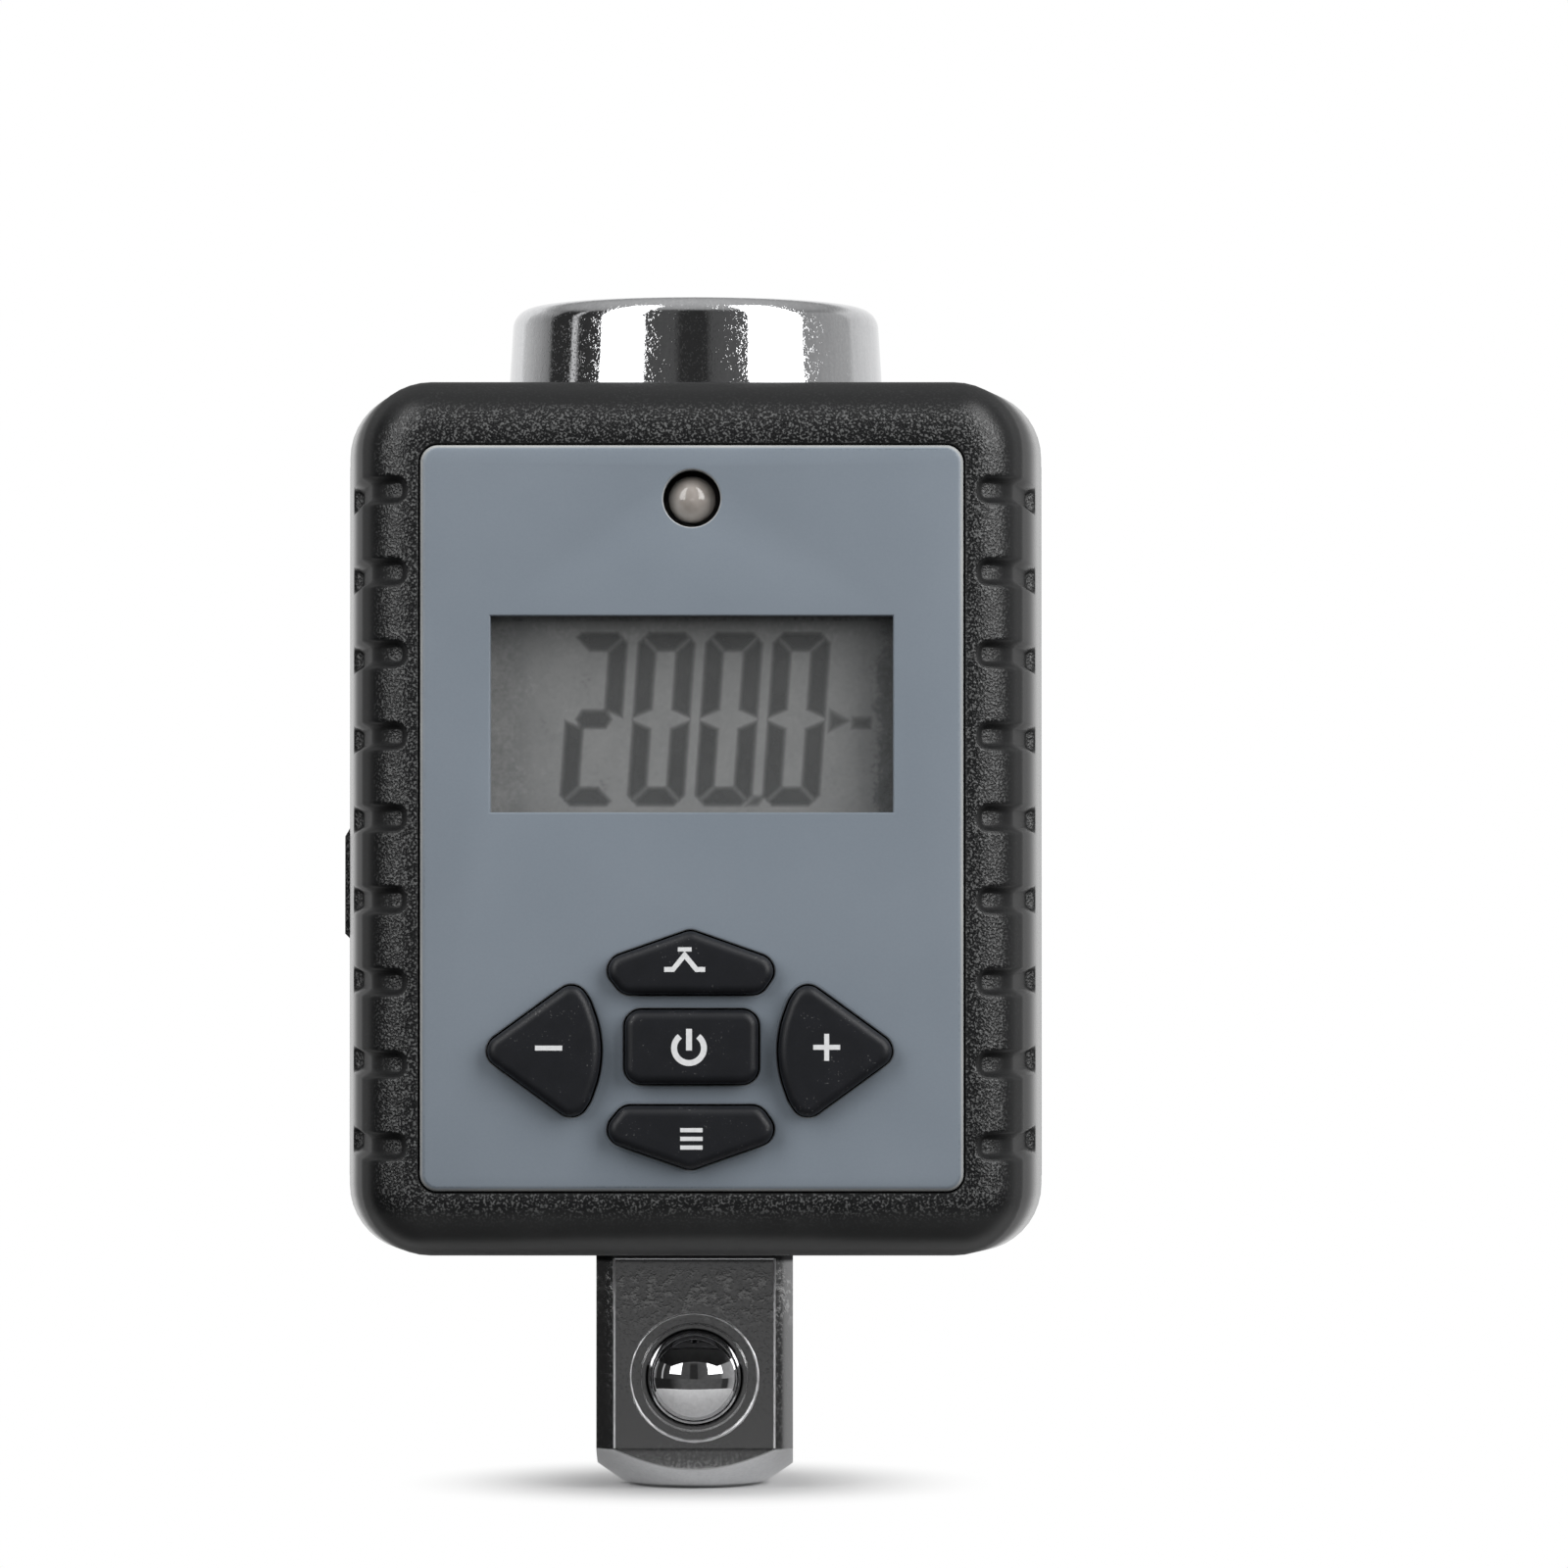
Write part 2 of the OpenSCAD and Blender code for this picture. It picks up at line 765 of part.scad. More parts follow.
module buzzer() {
    color("#121314")
        translate([buzzer_x, 0, mid_z + buzzer_z]) rotate([90, 0, 0]) difference() {
            translate([0, 0, board_back - buzzer_t]) cylinder(d = buzzer_d, h = buzzer_t);
            translate([0, 0, board_back - buzzer_t - over]) cylinder(d = buzzer_hole_d, h = 2 * over);
        }
}

module indicator_lamp() {
    color([0.72, 0.68, 0.64, 0.9])
        translate([0, -board_front, mid_z + led_up]) rotate([90, 0, 0]) rotate_extrude() {
            square([led_d / 2 + led_flange, led_flange_t]);
            square([led_d / 2, led_len - led_d / 2]);
            intersection() {
                translate([0, led_len - led_d / 2]) circle(d = led_d);
                square([led_d, led_len]);
            }
        }
}

module keypad_mat() {
    color("#2b2d30")
        difference() {
            front_layer(board_front, mat_front) translate([0, -keypad_down])
                rounded(mat_w, mat_h, mat_corner);
            front_layer(board_front - over, mat_front + over) at_keys() square(mat_well, center = true);
        }
}

module key_switches() {
    base_front = board_front + (switch_front - board_front) * switch_base_share;
    color("#b9bcc0") {
        front_layer(board_front, base_front) at_keys() square(switch_base, center = true);
        front_layer(base_front, switch_front) at_keys() circle(d = switch_plunger_d);
    }
}

// A key: its cap with a rolled edge, the flange that keeps it in, and the nub over its switch
module key(points, centre) {
    function ring(by, y) = [
        for (p = rounded_points(grown(points, -by), key_corner - by / 2))
            [p[0], -y, mid_z - keypad_down + p[1]]
    ];
    color("#141517") {
        skin(concat(
            [
                for (i = [0:crown_steps])
                    let (a = 90 * (1 - i / crown_steps))
                    ring(key_crown_in * (1 - cos(a)), key_front - key_crown * (1 - sin(a)))
            ],
            [ring(0, key_flange_front - fit)]
        ));
        front_layer(key_flange_back, key_flange_front) key_shape(points, key_flange_w);
        front_layer(key_flange_back - key_nub_t, key_flange_back + fit)
            translate([centre[0], centre[1] - keypad_down]) circle(d = key_nub_d);
    }
}

module power_key() { key(power_points, key_centres[0]); }
module peak_key() { key(peak_points, key_centres[1]); }
module menu_key() { key(menu_points, key_centres[2]); }
module minus_key() { key(minus_points, key_centres[3]); }
module plus_key() { key(plus_points, key_centres[4]); }

// Profile of the round part of the shaft, from the journal to the head
module shaft_profile() {
    rim_r = head_d / 2 - head_taper;
    polygon([
        [0, neck_z], [journal_d / 2, neck_z], [journal_d / 2, flange_z], [flange_d / 2, flange_z],
        [flange_d / 2, flange_z + flange_t], [torsion_d / 2, flange_z + flange_t + flange_cone],
        [torsion_d / 2, barrel_z - barrel_cone], [barrel_d / 2, barrel_z],
        [barrel_d / 2, shoulder_z], [head_d / 2, shoulder_z], [head_d / 2, case_top],
        [rim_r, head_top - head_edge], [rim_r - head_edge, head_top], [0, head_top],
    ]);
    translate([rim_r - head_edge, head_top - head_edge]) circle(head_edge);
}

// Male square with turned corners and a coned end
module male_square() {
    reach = drive_corner_d / 2;
    cone_h = (reach - end_r - end_roll) * end_cone_share;
    intersection() {
        translate([-drive_af / 2, -drive_af / 2, 0]) cube([drive_af, drive_af, neck_z + over]);
        rotate_extrude() polygon([
            [0, 0], [end_r, 0], [end_r + end_roll, end_roll_h], [reach, end_roll_h + cone_h],
            [reach, neck_z + over], [0, neck_z + over],
        ]);
    }
}

// Hole for the ball and its spring, with the staked rim round its mouth
module ball_hole() {
    lip_r = sqrt(ball_d * ball_d / 4 - ball_y_in * ball_y_in) + lip_gap;
    translate([0, 0, ball_height]) rotate([90, 0, 0]) {
        translate([0, 0, ball_back - spring_seat])
            cylinder(r = ball_hole_r, h = flat_y - lip_deep - ball_back + spring_seat);
        translate([0, 0, flat_y - lip_deep - slice]) cylinder(r1 = ball_hole_r, r2 = lip_r, h = lip_deep + slice);
        translate([0, 0, flat_y - stake_deep]) cylinder(r = lip_r, h = stake_deep + over);
        translate([0, 0, flat_y - stake_deep]) difference() {
            cylinder(r = stake_r, h = stake_deep + over);
            translate([0, 0, -over]) cylinder(r = lip_r + stake_rim, h = stake_deep + 2 * over);
        }
    }
}

module socket() {
    floor_z = head_top - socket_depth;
    translate([-socket_af / 2, -socket_af / 2, floor_z]) cube([socket_af, socket_af, socket_depth + over]);
    translate([0, 0, head_top - socket_chamfer])
        rotate(45) cylinder(d1 = socket_af * sqrt(2), d2 = (socket_af + 2 * (socket_chamfer + over)) * sqrt(2),
            h = socket_chamfer + over, $fn = 4);
    for (a = [0:90:270])
        rotate(a) translate([socket_af / 2 - socket_detent_r + socket_detent_deep, 0, detent_z])
            sphere(socket_detent_r);
}

module drive_shaft() {
    color("#c9cccf")
        difference() {
            union() {
                rotate_extrude() shaft_profile();
                male_square();
            }
            socket();
            ball_hole();
            for (y = [-1, 1])
                translate([0, y * (gauge_y + torsion_d / 2), gauge_z])
                    cube([torsion_d, torsion_d, gauge_flat_len], center = true);
            difference() {
                turned(journal_d + over, ring_z - fit, ring_z + ring_t + fit);
                turned(journal_d - 2 * (ring_deep + fit), ring_z - over, ring_z + ring_t + over);
            }
        }
}

module strain_gauges() {
    color("#b8863b")
        for (y = [-1, 1])
            translate([0, y * (gauge_y + gauge_t / 2), gauge_z])
                cube([gauge_w, gauge_t, gauge_len], center = true);
}

// Flat ribbon from the front gauge down to its plug on the board
module gauge_ribbon() {
    start_y = gauge_y + gauge_t;
    start_z = gauge_z - gauge_len / 2 + ribbon_tail;
    bend_z = gauge_z - gauge_len / 2;
    line = concat(
        [[start_y + ribbon_t / 2, start_z]],
        [
            for (i = [0:ribbon_steps])
                let (t = i / ribbon_steps, s = (1 - cos(180 * t)) / 2)
                [start_y + ribbon_t / 2 + (ribbon_y - start_y - ribbon_t / 2) * s, bend_z - ribbon_drop * t]
        ],
        [[ribbon_y, bend_z - ribbon_drop - ribbon_tail]]
    );
    side = ribbon_t / 2;
    color("#c08a2e")
        translate([-ribbon_w / 2, 0, 0]) rotate([90, 0, 90]) linear_extrude(ribbon_w)
            polygon(concat(
                [for (p = line) [-p[0] - side, p[1]]],
                [for (i = [len(line) - 1:-1:0]) [-line[i][0] + side, line[i][1]]]
            ));
}

module bush(bore, outer, from, to) {
    color("#e4e2da")
        difference() {
            turned(outer, from, to);
            turned(bore + 2 * journal_gap, from - over, to + over);
        }
}

module upper_bush() { bush(barrel_d, upper_bush_d, shoulder_z - upper_bush_h, shoulder_z); }
module lower_bush() { bush(journal_d, lower_bush_d, lower_bush_z, lower_bush_z + lower_bush_h); }

module retaining_ring() {
    inner_r = journal_d / 2 - ring_deep;
    outer_r = inner_r + ring_reach;
    color("#55585c")
        translate([0, 0, ring_z]) linear_extrude(ring_t) difference() {
            circle(outer_r);
            circle(inner_r);
            translate([0, outer_r]) square([ring_mouth, 2 * outer_r], center = true);
            for (x = [-1, 1])
                rotate(x * ring_eye_angle) translate([0, inner_r + ring_reach / 2]) circle(d = ring_eye_d);
        }
}
module detent_ball() {
    color("#d4d6d8") translate([0, -ball_y, ball_height]) sphere(d = ball_d, $fn = 96);
}

// Turns of a wire about the Y axis, from one depth to another
module coil(r_first, r_last, from, to, turns, wire, x, z) {
    steps = 16 * turns;
    tube(
        [
            for (i = [0:steps])
                let (t = i / steps, a = 360 * turns * t, r = r_first + (r_last - r_first) * t)
                [x + r * cos(a), from + (to - from) * t, z + r * sin(a)]
        ],
        wire / 2, 6, [0, 1, 0]
    );
}

module detent_spring() {
    reach = ball_d / 2 + spring_wire / 2 + journal_gap;
    first_y = -ball_y + sqrt(reach * reach - spring_r * spring_r);
    last_y = -ball_back + spring_seat - spring_wire / 2 - journal_gap;
    color("#8d9196")
        coil(spring_r, spring_r, first_y, last_y, spring_turns, spring_wire, 0, ball_height);
}

// Columns for the case screws, with wells for their heads, in the rear shell
module rear_fixings() {
    difference() {
        union() {
            intersection() {
                back_form(wall / 2, wall / 2);
                union() {
                    layer(0, case_back) at_corners(screw_x, screw_z) circle(column_r);
                    layer(bay_front - bay_wall, case_back)
                        square([bay_w + 2 * bay_wall, bay_len + 2 * bay_wall], center = true);
                    cradles(0, bay_front);
                    difference() {
                        tongue_box(wall / 2);
                        back_form(tongue_deep, tongue_deep);
                    }
                }
            }
            difference() {
                layer(-lip_len, over) seam_outline(wall - lip_t);
                layer(-lip_len - over, 2 * over) seam_outline(wall);
                layer(-lip_len - over, 0) square([case_w, case_h - 2 * lip_break], center = true);
                layer(-lip_len - over, 0) square([case_w - 2 * lip_break, case_h], center = true);
            }
        }
        layer(-over, case_back + over) at_corners(screw_x, screw_z) circle(d = screw_d + 2 * fit);
        layer(screw_seat, case_back + over) at_corners(screw_x, screw_z) circle(d = screw_well_d);
    }
}
// Box round the door's latch tongue, grown by a distance
module tongue_box(by) {
    translate([-case_w / 2 - over, tongue_front - by, mid_z + tongue_z - tongue_h / 2 - by])
        cube([case_w / 2 + over - pivot_x, case_back, tongue_h + 2 * by]);
}

// The tongue: the part of the shell's skin inside that box
module tongue(by, thick) {
    intersection() {
        difference() {
            back_form(0, 0);
            back_form(thick, thick);
        }
        tongue_box(by);
    }
}

module rear_housing() {
    color("#1d1e20")
        difference() {
            union() {
                difference() {
                    back_form(0, 0);
                    back_form(wall, wall);
                }
                rear_fixings();
            }
            shaft_passage();
            layer(bay_front, case_back + over) square([bay_w, bay_len], center = true);
            layer(door_back - run_gap, case_back + over)
                square([2 * (door_half_w + run_gap), 2 * (door_half_h + run_gap)], center = true);
            translate([pivot_x, pivot_y, mid_z])
                cylinder(r = pivot_r + journal_gap, h = 2 * (door_half_h + pivot_len + run_gap), center = true);
            tongue(run_gap, door_t + run_gap);
            layer(-over, case_back + over) at_corners(screw_x, screw_z) circle(d = screw_d + 2 * fit);
            layer(screw_seat, case_back + over) at_corners(screw_x, screw_z) circle(d = screw_well_d);
            for (x = [-1, 1]) strap_slot(x);
        }
}

module strap_slot(x) {
    translate([
        x * strap_x - (strap_w / 2 + tab_gap), bay_front - bay_wall - over,
        strap_low - tab_gap
    ])
        cube([strap_w + 2 * tab_gap, bay_wall + 2 * over, tab_h + 2 * tab_gap]);
}
module battery_door() {
    color("#1f2022")
        difference() {
            union() {
                layer(door_back, case_back) translate([(pivot_x - door_half_w) / 2, 0])
                    square([pivot_x + door_half_w, 2 * door_half_h], center = true);
                translate([pivot_x, pivot_y, mid_z]) {
                    cylinder(d = door_t, h = 2 * door_half_h, center = true);
                    cylinder(r = pivot_r, h = 2 * (door_half_h + pivot_len), center = true);
                }
                tongue(0, door_t);
                thumb_pad();
            }
            for (k = [0:door_rib_count - 1])
                translate([door_rib_x, case_back, mid_z + (k - (door_rib_count - 1) / 2) * door_rib_pitch])
                    cube([door_rib_len, 2 * door_rib_deep, door_rib_w], center = true);
        }
}
// Raised pad on the latch tongue, with a ramp at each end
module thumb_pad() {
    outer_x = -case_w / 2 + back_draft_share * pad_front - pad_rise;
    inner_x = -case_w / 2 + back_draft_share * pad_back + door_t / 2;
    layer(pad_front, pad_back) polygon([
        [inner_x, pad_low], [outer_x, pad_low + pad_low_ramp], [outer_x, pad_high - pad_high_ramp],
        [inner_x, pad_high],
    ]);
}

// A cell with its nub up, standing on a height; way is -1 for a cell that is turned over
module cell(x, way) {
    low = mid_z - bay_len / 2 + contact_t;
    high = mid_z + bay_len / 2 - contact_t;
    nub_z = way > 0 ? high : low;
    translate([x, cell_y, nub_z - way * cell_len]) mirror([0, 0, way > 0 ? 0 : 1]) {
        cylinder(d = cell_d, h = cell_len - cell_nub_t);
        cylinder(d = cell_nub_d, h = cell_len);
    }
}

module battery_cells() {
    color("#b88a3c") {
        cell(-cell_spacing / 2, 1);
        cell(cell_spacing / 2, -1);
    }
}

module battery_springs() {
    color("#c4c7ca")
        for (s = [-1, 1])
            translate([s * cell_spacing / 2, cell_y, mid_z + s * (bay_len / 2 - contact_t - coil_wire / 2)])
                rotate([-s * 90, 0, 0])
                    coil(coil_r, coil_r * coil_top_share, journal_gap,
                        coil_len - coil_wire - 2 * journal_gap, coil_turns, coil_wire, 0, 0);
}

module battery_contacts() {
    depth = cell_d - 2 * contact_side;
    half = bay_w / 2 - contact_side;
    low = mid_z - bay_len / 2;
    high = mid_z + bay_len / 2 - contact_t;
    color("#c9ccce") {
        translate([-half, bay_front, low]) cube([2 * half, depth, contact_t]);
        for (x = [0, 1]) mirror([x, 0, 0]) {
            translate([contact_side, bay_front, high]) cube([half - contact_side, depth, contact_t]);
            translate([strap_x - strap_w / 2, bay_front, strap_low])
                cube([strap_w, strap_t, strap_len + contact_t]);
            translate([strap_x - strap_w / 2, bay_front - bay_wall - tab_reach, strap_low])
                cube([strap_w, bay_wall + tab_reach + strap_t, tab_h]);
        }
    }
}

// A lead from its contact's tab, out to the side wall and forward to the board
module battery_leads() {
    z = strap_low + tab_h / 2;
    start_y = bay_front - bay_wall - tab_reach;
    for (x = [-1, 1])
        color(x > 0 ? "#b3261e" : "#1b1b1b")
            tube(
                [
                    [x * strap_x, start_y, z],
                    [x * strap_x, start_y - lead_d, z],
                    [x * (strap_x + lead_bend / 2), start_y - lead_d - lead_bend, z],
                    [x * (lead_x - lead_bend), start_y - lead_d - 2 * lead_bend, z],
                    [x * lead_x, start_y - lead_d - 3 * lead_bend, z],
                    [x * lead_x, start_y - lead_d - 4 * lead_bend, z],
                    [x * lead_x, -board_back + 2 * lead_d, z],
                    [x * lead_x, -board_back, z],
                ],
                lead_d / 2, lead_sides, [0, 0, 1]
            );
}

// A pan-head screw pointing along -Z, with its head's underside at zero
module screw(d, len, head_d, head_t) {
    difference() {
        union() {
            translate([0, 0, -len]) cylinder(d = d, h = len);
            cylinder(d = head_d, h = head_t);
        }
        for (a = [0, 90])
            rotate(a) translate([0, 0, head_t])
                cube([head_d - 2 * cross_w, cross_w, 2 * cross_deep], center = true);
    }
}

module case_screws() {
    color("#4a4c50")
        translate([0, screw_seat, mid_z]) rotate([-90, 0, 0]) at_corners(screw_x, screw_z)
            screw(screw_d, screw_len, screw_head_d, screw_head_t);
}

module board_screws() {
    color("#b5b8bb")
        translate([0, -board_back, mid_z]) rotate([-90, 0, 0]) mirror([0, 1, 0]) board_holes()
            screw(board_screw_d, board_screw_len, board_screw_head_d, board_screw_head_t);
}

front_housing();
rear_housing();
face_plate();
display_window();
lcd_glass();
lcd_digits();
lcd_holder();
contact_strips();
main_board();
board_chips();
buzzer();
indicator_lamp();
keypad_mat();
key_switches();
peak_key();
minus_key();
power_key();
plus_key();
menu_key();
drive_shaft();
strain_gauges();
gauge_ribbon();
upper_bush();
lower_bush();
retaining_ring();
detent_ball();
detent_spring();
battery_door();
battery_cells();
battery_springs();
battery_contacts();
battery_leads();
case_screws();
board_screws();
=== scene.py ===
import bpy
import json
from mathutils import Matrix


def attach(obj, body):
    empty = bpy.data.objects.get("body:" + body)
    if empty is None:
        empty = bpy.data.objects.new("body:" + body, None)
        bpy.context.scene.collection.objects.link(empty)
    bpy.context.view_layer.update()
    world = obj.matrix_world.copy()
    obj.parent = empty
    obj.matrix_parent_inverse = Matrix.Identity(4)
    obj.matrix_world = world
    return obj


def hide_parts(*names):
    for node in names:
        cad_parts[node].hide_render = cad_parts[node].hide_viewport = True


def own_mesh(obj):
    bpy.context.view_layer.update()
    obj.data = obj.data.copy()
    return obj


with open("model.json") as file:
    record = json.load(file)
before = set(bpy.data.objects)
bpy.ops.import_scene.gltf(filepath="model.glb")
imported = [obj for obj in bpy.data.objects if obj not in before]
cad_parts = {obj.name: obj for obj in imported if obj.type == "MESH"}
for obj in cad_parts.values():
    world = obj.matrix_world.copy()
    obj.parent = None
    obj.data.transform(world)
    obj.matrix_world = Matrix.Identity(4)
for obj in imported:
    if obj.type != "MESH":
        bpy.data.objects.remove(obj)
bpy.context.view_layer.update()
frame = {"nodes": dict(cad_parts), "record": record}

import json
import math
import bmesh
import bpy
from mathutils import Vector
from mathutils.geometry import tessellate_polygon

# Lengths are in millimetres up to the mesh maker, which turns them into metres.
# TUCK is how far a hidden face goes past the one that it meets.
MM = 0.001
TUCK = 0.02
MID_Z = 43.2
PAD_Z = MID_Z - 14.3

# Meshes: the angles in degrees from which an edge is sharp, points round a corner, a bar and a bored hole,
# and the limits that keep a sharp bend from widening a stroke or an outline too far
SHARP = 35
SHARP_KEY = 50
SHARP_CAD = 30
ARC_STEPS = 10
BAR_SIDES = 8
BORE_SIDES = 128
STROKE_BEND = 0.5
OUTLINE_BEND = 0.35

# Front shell
CASE_HALF_W = 22.6
CASE_HALF_H = 28.1
SIDE_DRAFT = 0.106
END_DRAFT = 0.035
CORNER_R = 4.4
EDGE_R = 3.5
CASE_FRONT = 19.92
WALL = 2.0
SHELF_BACK = 17.12
PLATE_BACK = 18.72
SHELF_REACH = (1.6, 1.15)
SHELF_R = 0.3
SHELF_GAP = 0.1
POCKET_HALF = (17.1, 23.45)
POCKET_R = 1.2
POCKET_MOUTH = ((0.0, 0.14), (0.04, 0.04), (0.14, 0.0))
SEAM_EDGE = ((0.05, 0.05), (0.17, 0.0), (WALL, 0.0))
SEAM_TAPER = 0.6
SHELL_TURNS = (90, 87, 84.5, 82.5, 81, 79.5, 78, 76.5, 75, 73, 70, 66, 61, 55, 49, 43, 37, 31, 25)
SHELL_TURNS += (19, 13, 9, 6)
SHELL_DEPTHS = (14, 11.5, 9, 7.5, 6.8, 6.4, 6.25, 6.1, 6, 5.9, 5.75, 5.6, 5, 3, 1, 0.16)
STRAIGHT_Z = 21.9
STRAIGHT_X = 13.0
STRAIGHT_PARTS = 8
HEAD_HOLE_R = 12.6
NECK_HOLE_R = 9.9

# Face plate: its outline and edges, how much painted highlight each edge gets, and the painted pale rim of
# the key holes
PLATE_HALF = (17.0, 23.35)
PLATE_R = 1.1
PLATE_FRONT = 20.12
PLATE_EDGE = 0.4
HOLE_EDGE = 0.13
WINDOW_EDGE_LIGHT = 0.3
KEY_EDGE_LIGHT = 0.7
RIM_W = 0.12
RIM_EDGE_LIGHT = 0.45
EDGE_TURNS = (0, 18, 36, 54, 72, 90)

# Grip grooves; the offsets are the heights of the shell's rings from the middle of each groove
GROOVE_COUNT = 9
GROOVE_PITCH = 5.14
GROOVE_DEEP = 0.62
GROOVE_FLOOR_HALF = 0.38
GROOVE_MOUTH_HALF = 0.94
GROOVE_ROUND = 0.6
GROOVE_STARTS = (17.7, 18.35)
GROOVE_ENDS = (5.75, 6.25)
GROOVE_OFFSETS = (0, 0.2, 0.34, 0.44, 0.54, 0.64, 0.74, 0.84, 0.94, 1.05, 1.7)

# Window, display and lamp; the digits run from the right, each with its lit segments
WINDOW_HALF = (12.6, 6.15)
WINDOW_UP = 6.5
WINDOW_RIM = 0.2
LAMP_UP = 20.0
LAMP_HOLE_R = 1.8
DIGIT_H = 10.7
DIGIT_W = 2.42
DIGIT_STEP = 4.25
DIGIT_LEAN = 0.07
SEGMENT_W = 0.97
SEGMENT_GAP = 0.2
SEGMENT_END = (0.25, 0.42)
SEGMENT_CUT = 0.4
TWO = (1, 1, 1, 1, 0, 0, 1)
ZERO = (1, 0, 1, 1, 1, 1, 1)
DIGITS = (ZERO, ZERO, ZERO, TWO)
DIGITS_RIGHT = 5.0
DIGITS_DOWN = 0.25
POINT_SIZE = 0.5
POINT_AWAY = 1.2
POINT_LEAN = 0.6
POINT_TOP = 0.2
UNIT_AT = (0.95, -0.1)
UNIT_TRIANGLE = ((0, -0.55), (1.0, 0), (0, 0.55))
UNIT_BAR = ((1.45, -0.4), (2.45, -0.4), (2.45, 0.15), (1.45, 0.15))
INK_BLUR = 0.19
INK_LEVELS = ((-1.0, 1.0), (0.0, 0.62), (1.15, 0.0))
FAINT_INK = 0.7
FAINT_COUNT = 3
INK_GAP = 0.03
INK_LAYER = 0.004
INK_LAYERS = 4

# Keys
KEY_R = 1.0
KEY_GAP = 0.1
KEY_TOP = 21.3
POWER_HALF = (4.15, 2.3)
ARROW = ((-0.08, 7.27), (-5.87, 5.25), (-4.3, 3.3), (4.3, 3.3), (5.66, 5.25))
MENU_DROP = 0.4
SIDE_DROP = 0.26
PLUS_INWARD = 0.26
KEY_CROWN = (0.6, 0.55)
KEY_CROWN_STEPS = 10
KEY_FILL = (0.3, 0.6, 0.85)
KEY_FLANGE = (0.35, 16.22, 17.02)
SIDE_TIP = 13.45
SIDE_NEAR = 5.65
SIDE_HALF = 4.5
SIDE_BULGE = 1.6
SIDE_STEPS = 6
SIDE_ROUND = (0.3, 0.9)

# White symbols on the keys, from the keypad's centre; a sweep is its start and turn in degrees, and its parts
SYMBOL_LIFT = 0.015
SYMBOL_WHITE = ((0.84, 0.85, 0.86), (0.94, 0.95, 0.96))
SYMBOL_BAR = 0.31
THICK_BAR = 1.2 * SYMBOL_BAR
THIN_BAR = 0.85 * SYMBOL_BAR
MINUS_LINE = ((-9.75, -0.05), (-8.05, -0.05))
PLUS_X = 8.43
PLUS_ARM = 0.84
POWER_MIDDLE = (-0.15, -0.05)
POWER_RING_R = 0.93
POWER_SWEEP = (128, 284, 32)
POWER_LINE = ((-0.15, -0.2), (-0.15, 1.15))
PEAK_WAVE = ((-1.7, 4.85), (-1.15, 4.85), (-0.42, 5.75), (0.31, 4.85), (0.86, 4.85))
PEAK_LINE = ((-0.85, 6.1), (0.01, 6.1))
MENU_HALF = 0.7
MENU_Z = -5.7
MENU_STEP = 0.54

# Male square: its front flat, the ball's height, the painted dark ring of shade in the gap round the ball,
# and the thin ridges
FLAT_FRONT = 6.35
FLAT_HALF = 5.15
BALL_Z = 7.3
BALL_GAP_SHADE = (3.1, 3.23)
STAKE_R = 4.1
RIDGE_R = 0.075
RIDGE_LOW = 2.75
RIDGE_HIGH = 14.95
RIDGE_SWELL = 0.45
RIDGE_SWELL_TURN = -0.9
RIDGE_RIPPLE = (0.15, 23)
END_R = 4.8
END_LOW = 0.25
END_SLOPE = 0.7
FLAT_END_TOP = 2.9
FLAT_END_PROUD = 0.004
FLAT_END_THICK = 0.15
FLAT_END_STEPS = 32

# Spring behind the ball: its coil and the depths of its two ends
SPRING_R = 2.405
SPRING_WIRE = 0.5
SPRING_TURNS = 4
SPRING_STEPS = 96
SPRING_ENDS = (-2.967, 1.95)

# Camera: its place, its lens, and its pitch, as 100 of the photo's pixels at a focal length of 7181 of them
CAMERA_AT = (5.77, -460.0, 39.2)
CAMERA_LENS = 161.57
CAMERA_SENSOR = 36.0
CAMERA_PITCH = math.atan(100 / 7181)
CAMERA_CLIP = (0.01, 20.0)

# Where the looks change along an axis: the case's painted lighter low rim and its sides, the display's darker
# right and upper edges and painted light on its left and upper sides, the drive's satin and worked parts, the
# shaft's shaded neck, the head's specks and the dents
CASE_PAINTED_RIM = (MID_Z - 25.4, MID_Z - 23.8)
CASE_SIDE = (-15.0, -2.5)
DARK_RIGHT = (10.9, 12.5)
DARK_TOP = (MID_Z + 12.25, MID_Z + 12.5)
PAINTED_LIGHT_LEFT = (-12.4, -9.0)
PAINTED_LIGHT_TOP = (MID_Z + 9.2, MID_Z + 11.8)
SATIN_TOP = (15.2, 15.8)
WORKED_LOW = (10.2, 12.0)
WORKED_TOP = (13.6, 14.6)
NECK_LOW = (14.6, 14.9)
NECK_TOP = (20.0, 21.0)
SPECKS_RISE = (60.0, 68.0)
DENTS_RISE = (3.5, 7.0)
# Most of a noise lies between these two values
NOISE = (0.3, 0.7)

# Radiance by azimuth from the camera's side, right positive, in degrees: level with the object and below it
LIGHT_ROUND = (
    (-180, 0.95), (-137, 0.8), (-134, 0.58), (-104, 0.22), (-101, 0.03), (-84, 0.03), (-83, 0.6),
    (-79.5, 0.6), (-78.5, 0.03), (-32, 0.08), (-12, 0.085), (-9, 0.03), (7, 0.03), (10, 0.085),
    (34, 0.11), (66, 0.14), (71, 0.30), (112, 0.42), (118, 0.62), (180, 0.95),
)
LIGHT_LOW = (
    (-180, 0.95), (-137, 0.75), (-134, 0.5), (-109, 0.2), (-106, 0.02), (-60, 0.02), (-30, 0.11),
    (30, 0.11), (66, 0.10), (72, 0.04), (86, 0.04), (90, 0.26), (118, 0.5), (180, 0.95),
)
# Radiance overhead by the direction's height from 0 to 1, and how far it and the low light take over
LIGHT_HEIGHT = [(0.5, 0.3), (0.775, 0.1), (0.84, 0.34), (1.0, 0.5)]
LIGHT_SHARE = [(0.75, 0.0), (0.83, 1.0)]
LOW_SHARE = [(0.472, 1.0), (0.484, 0.0)]
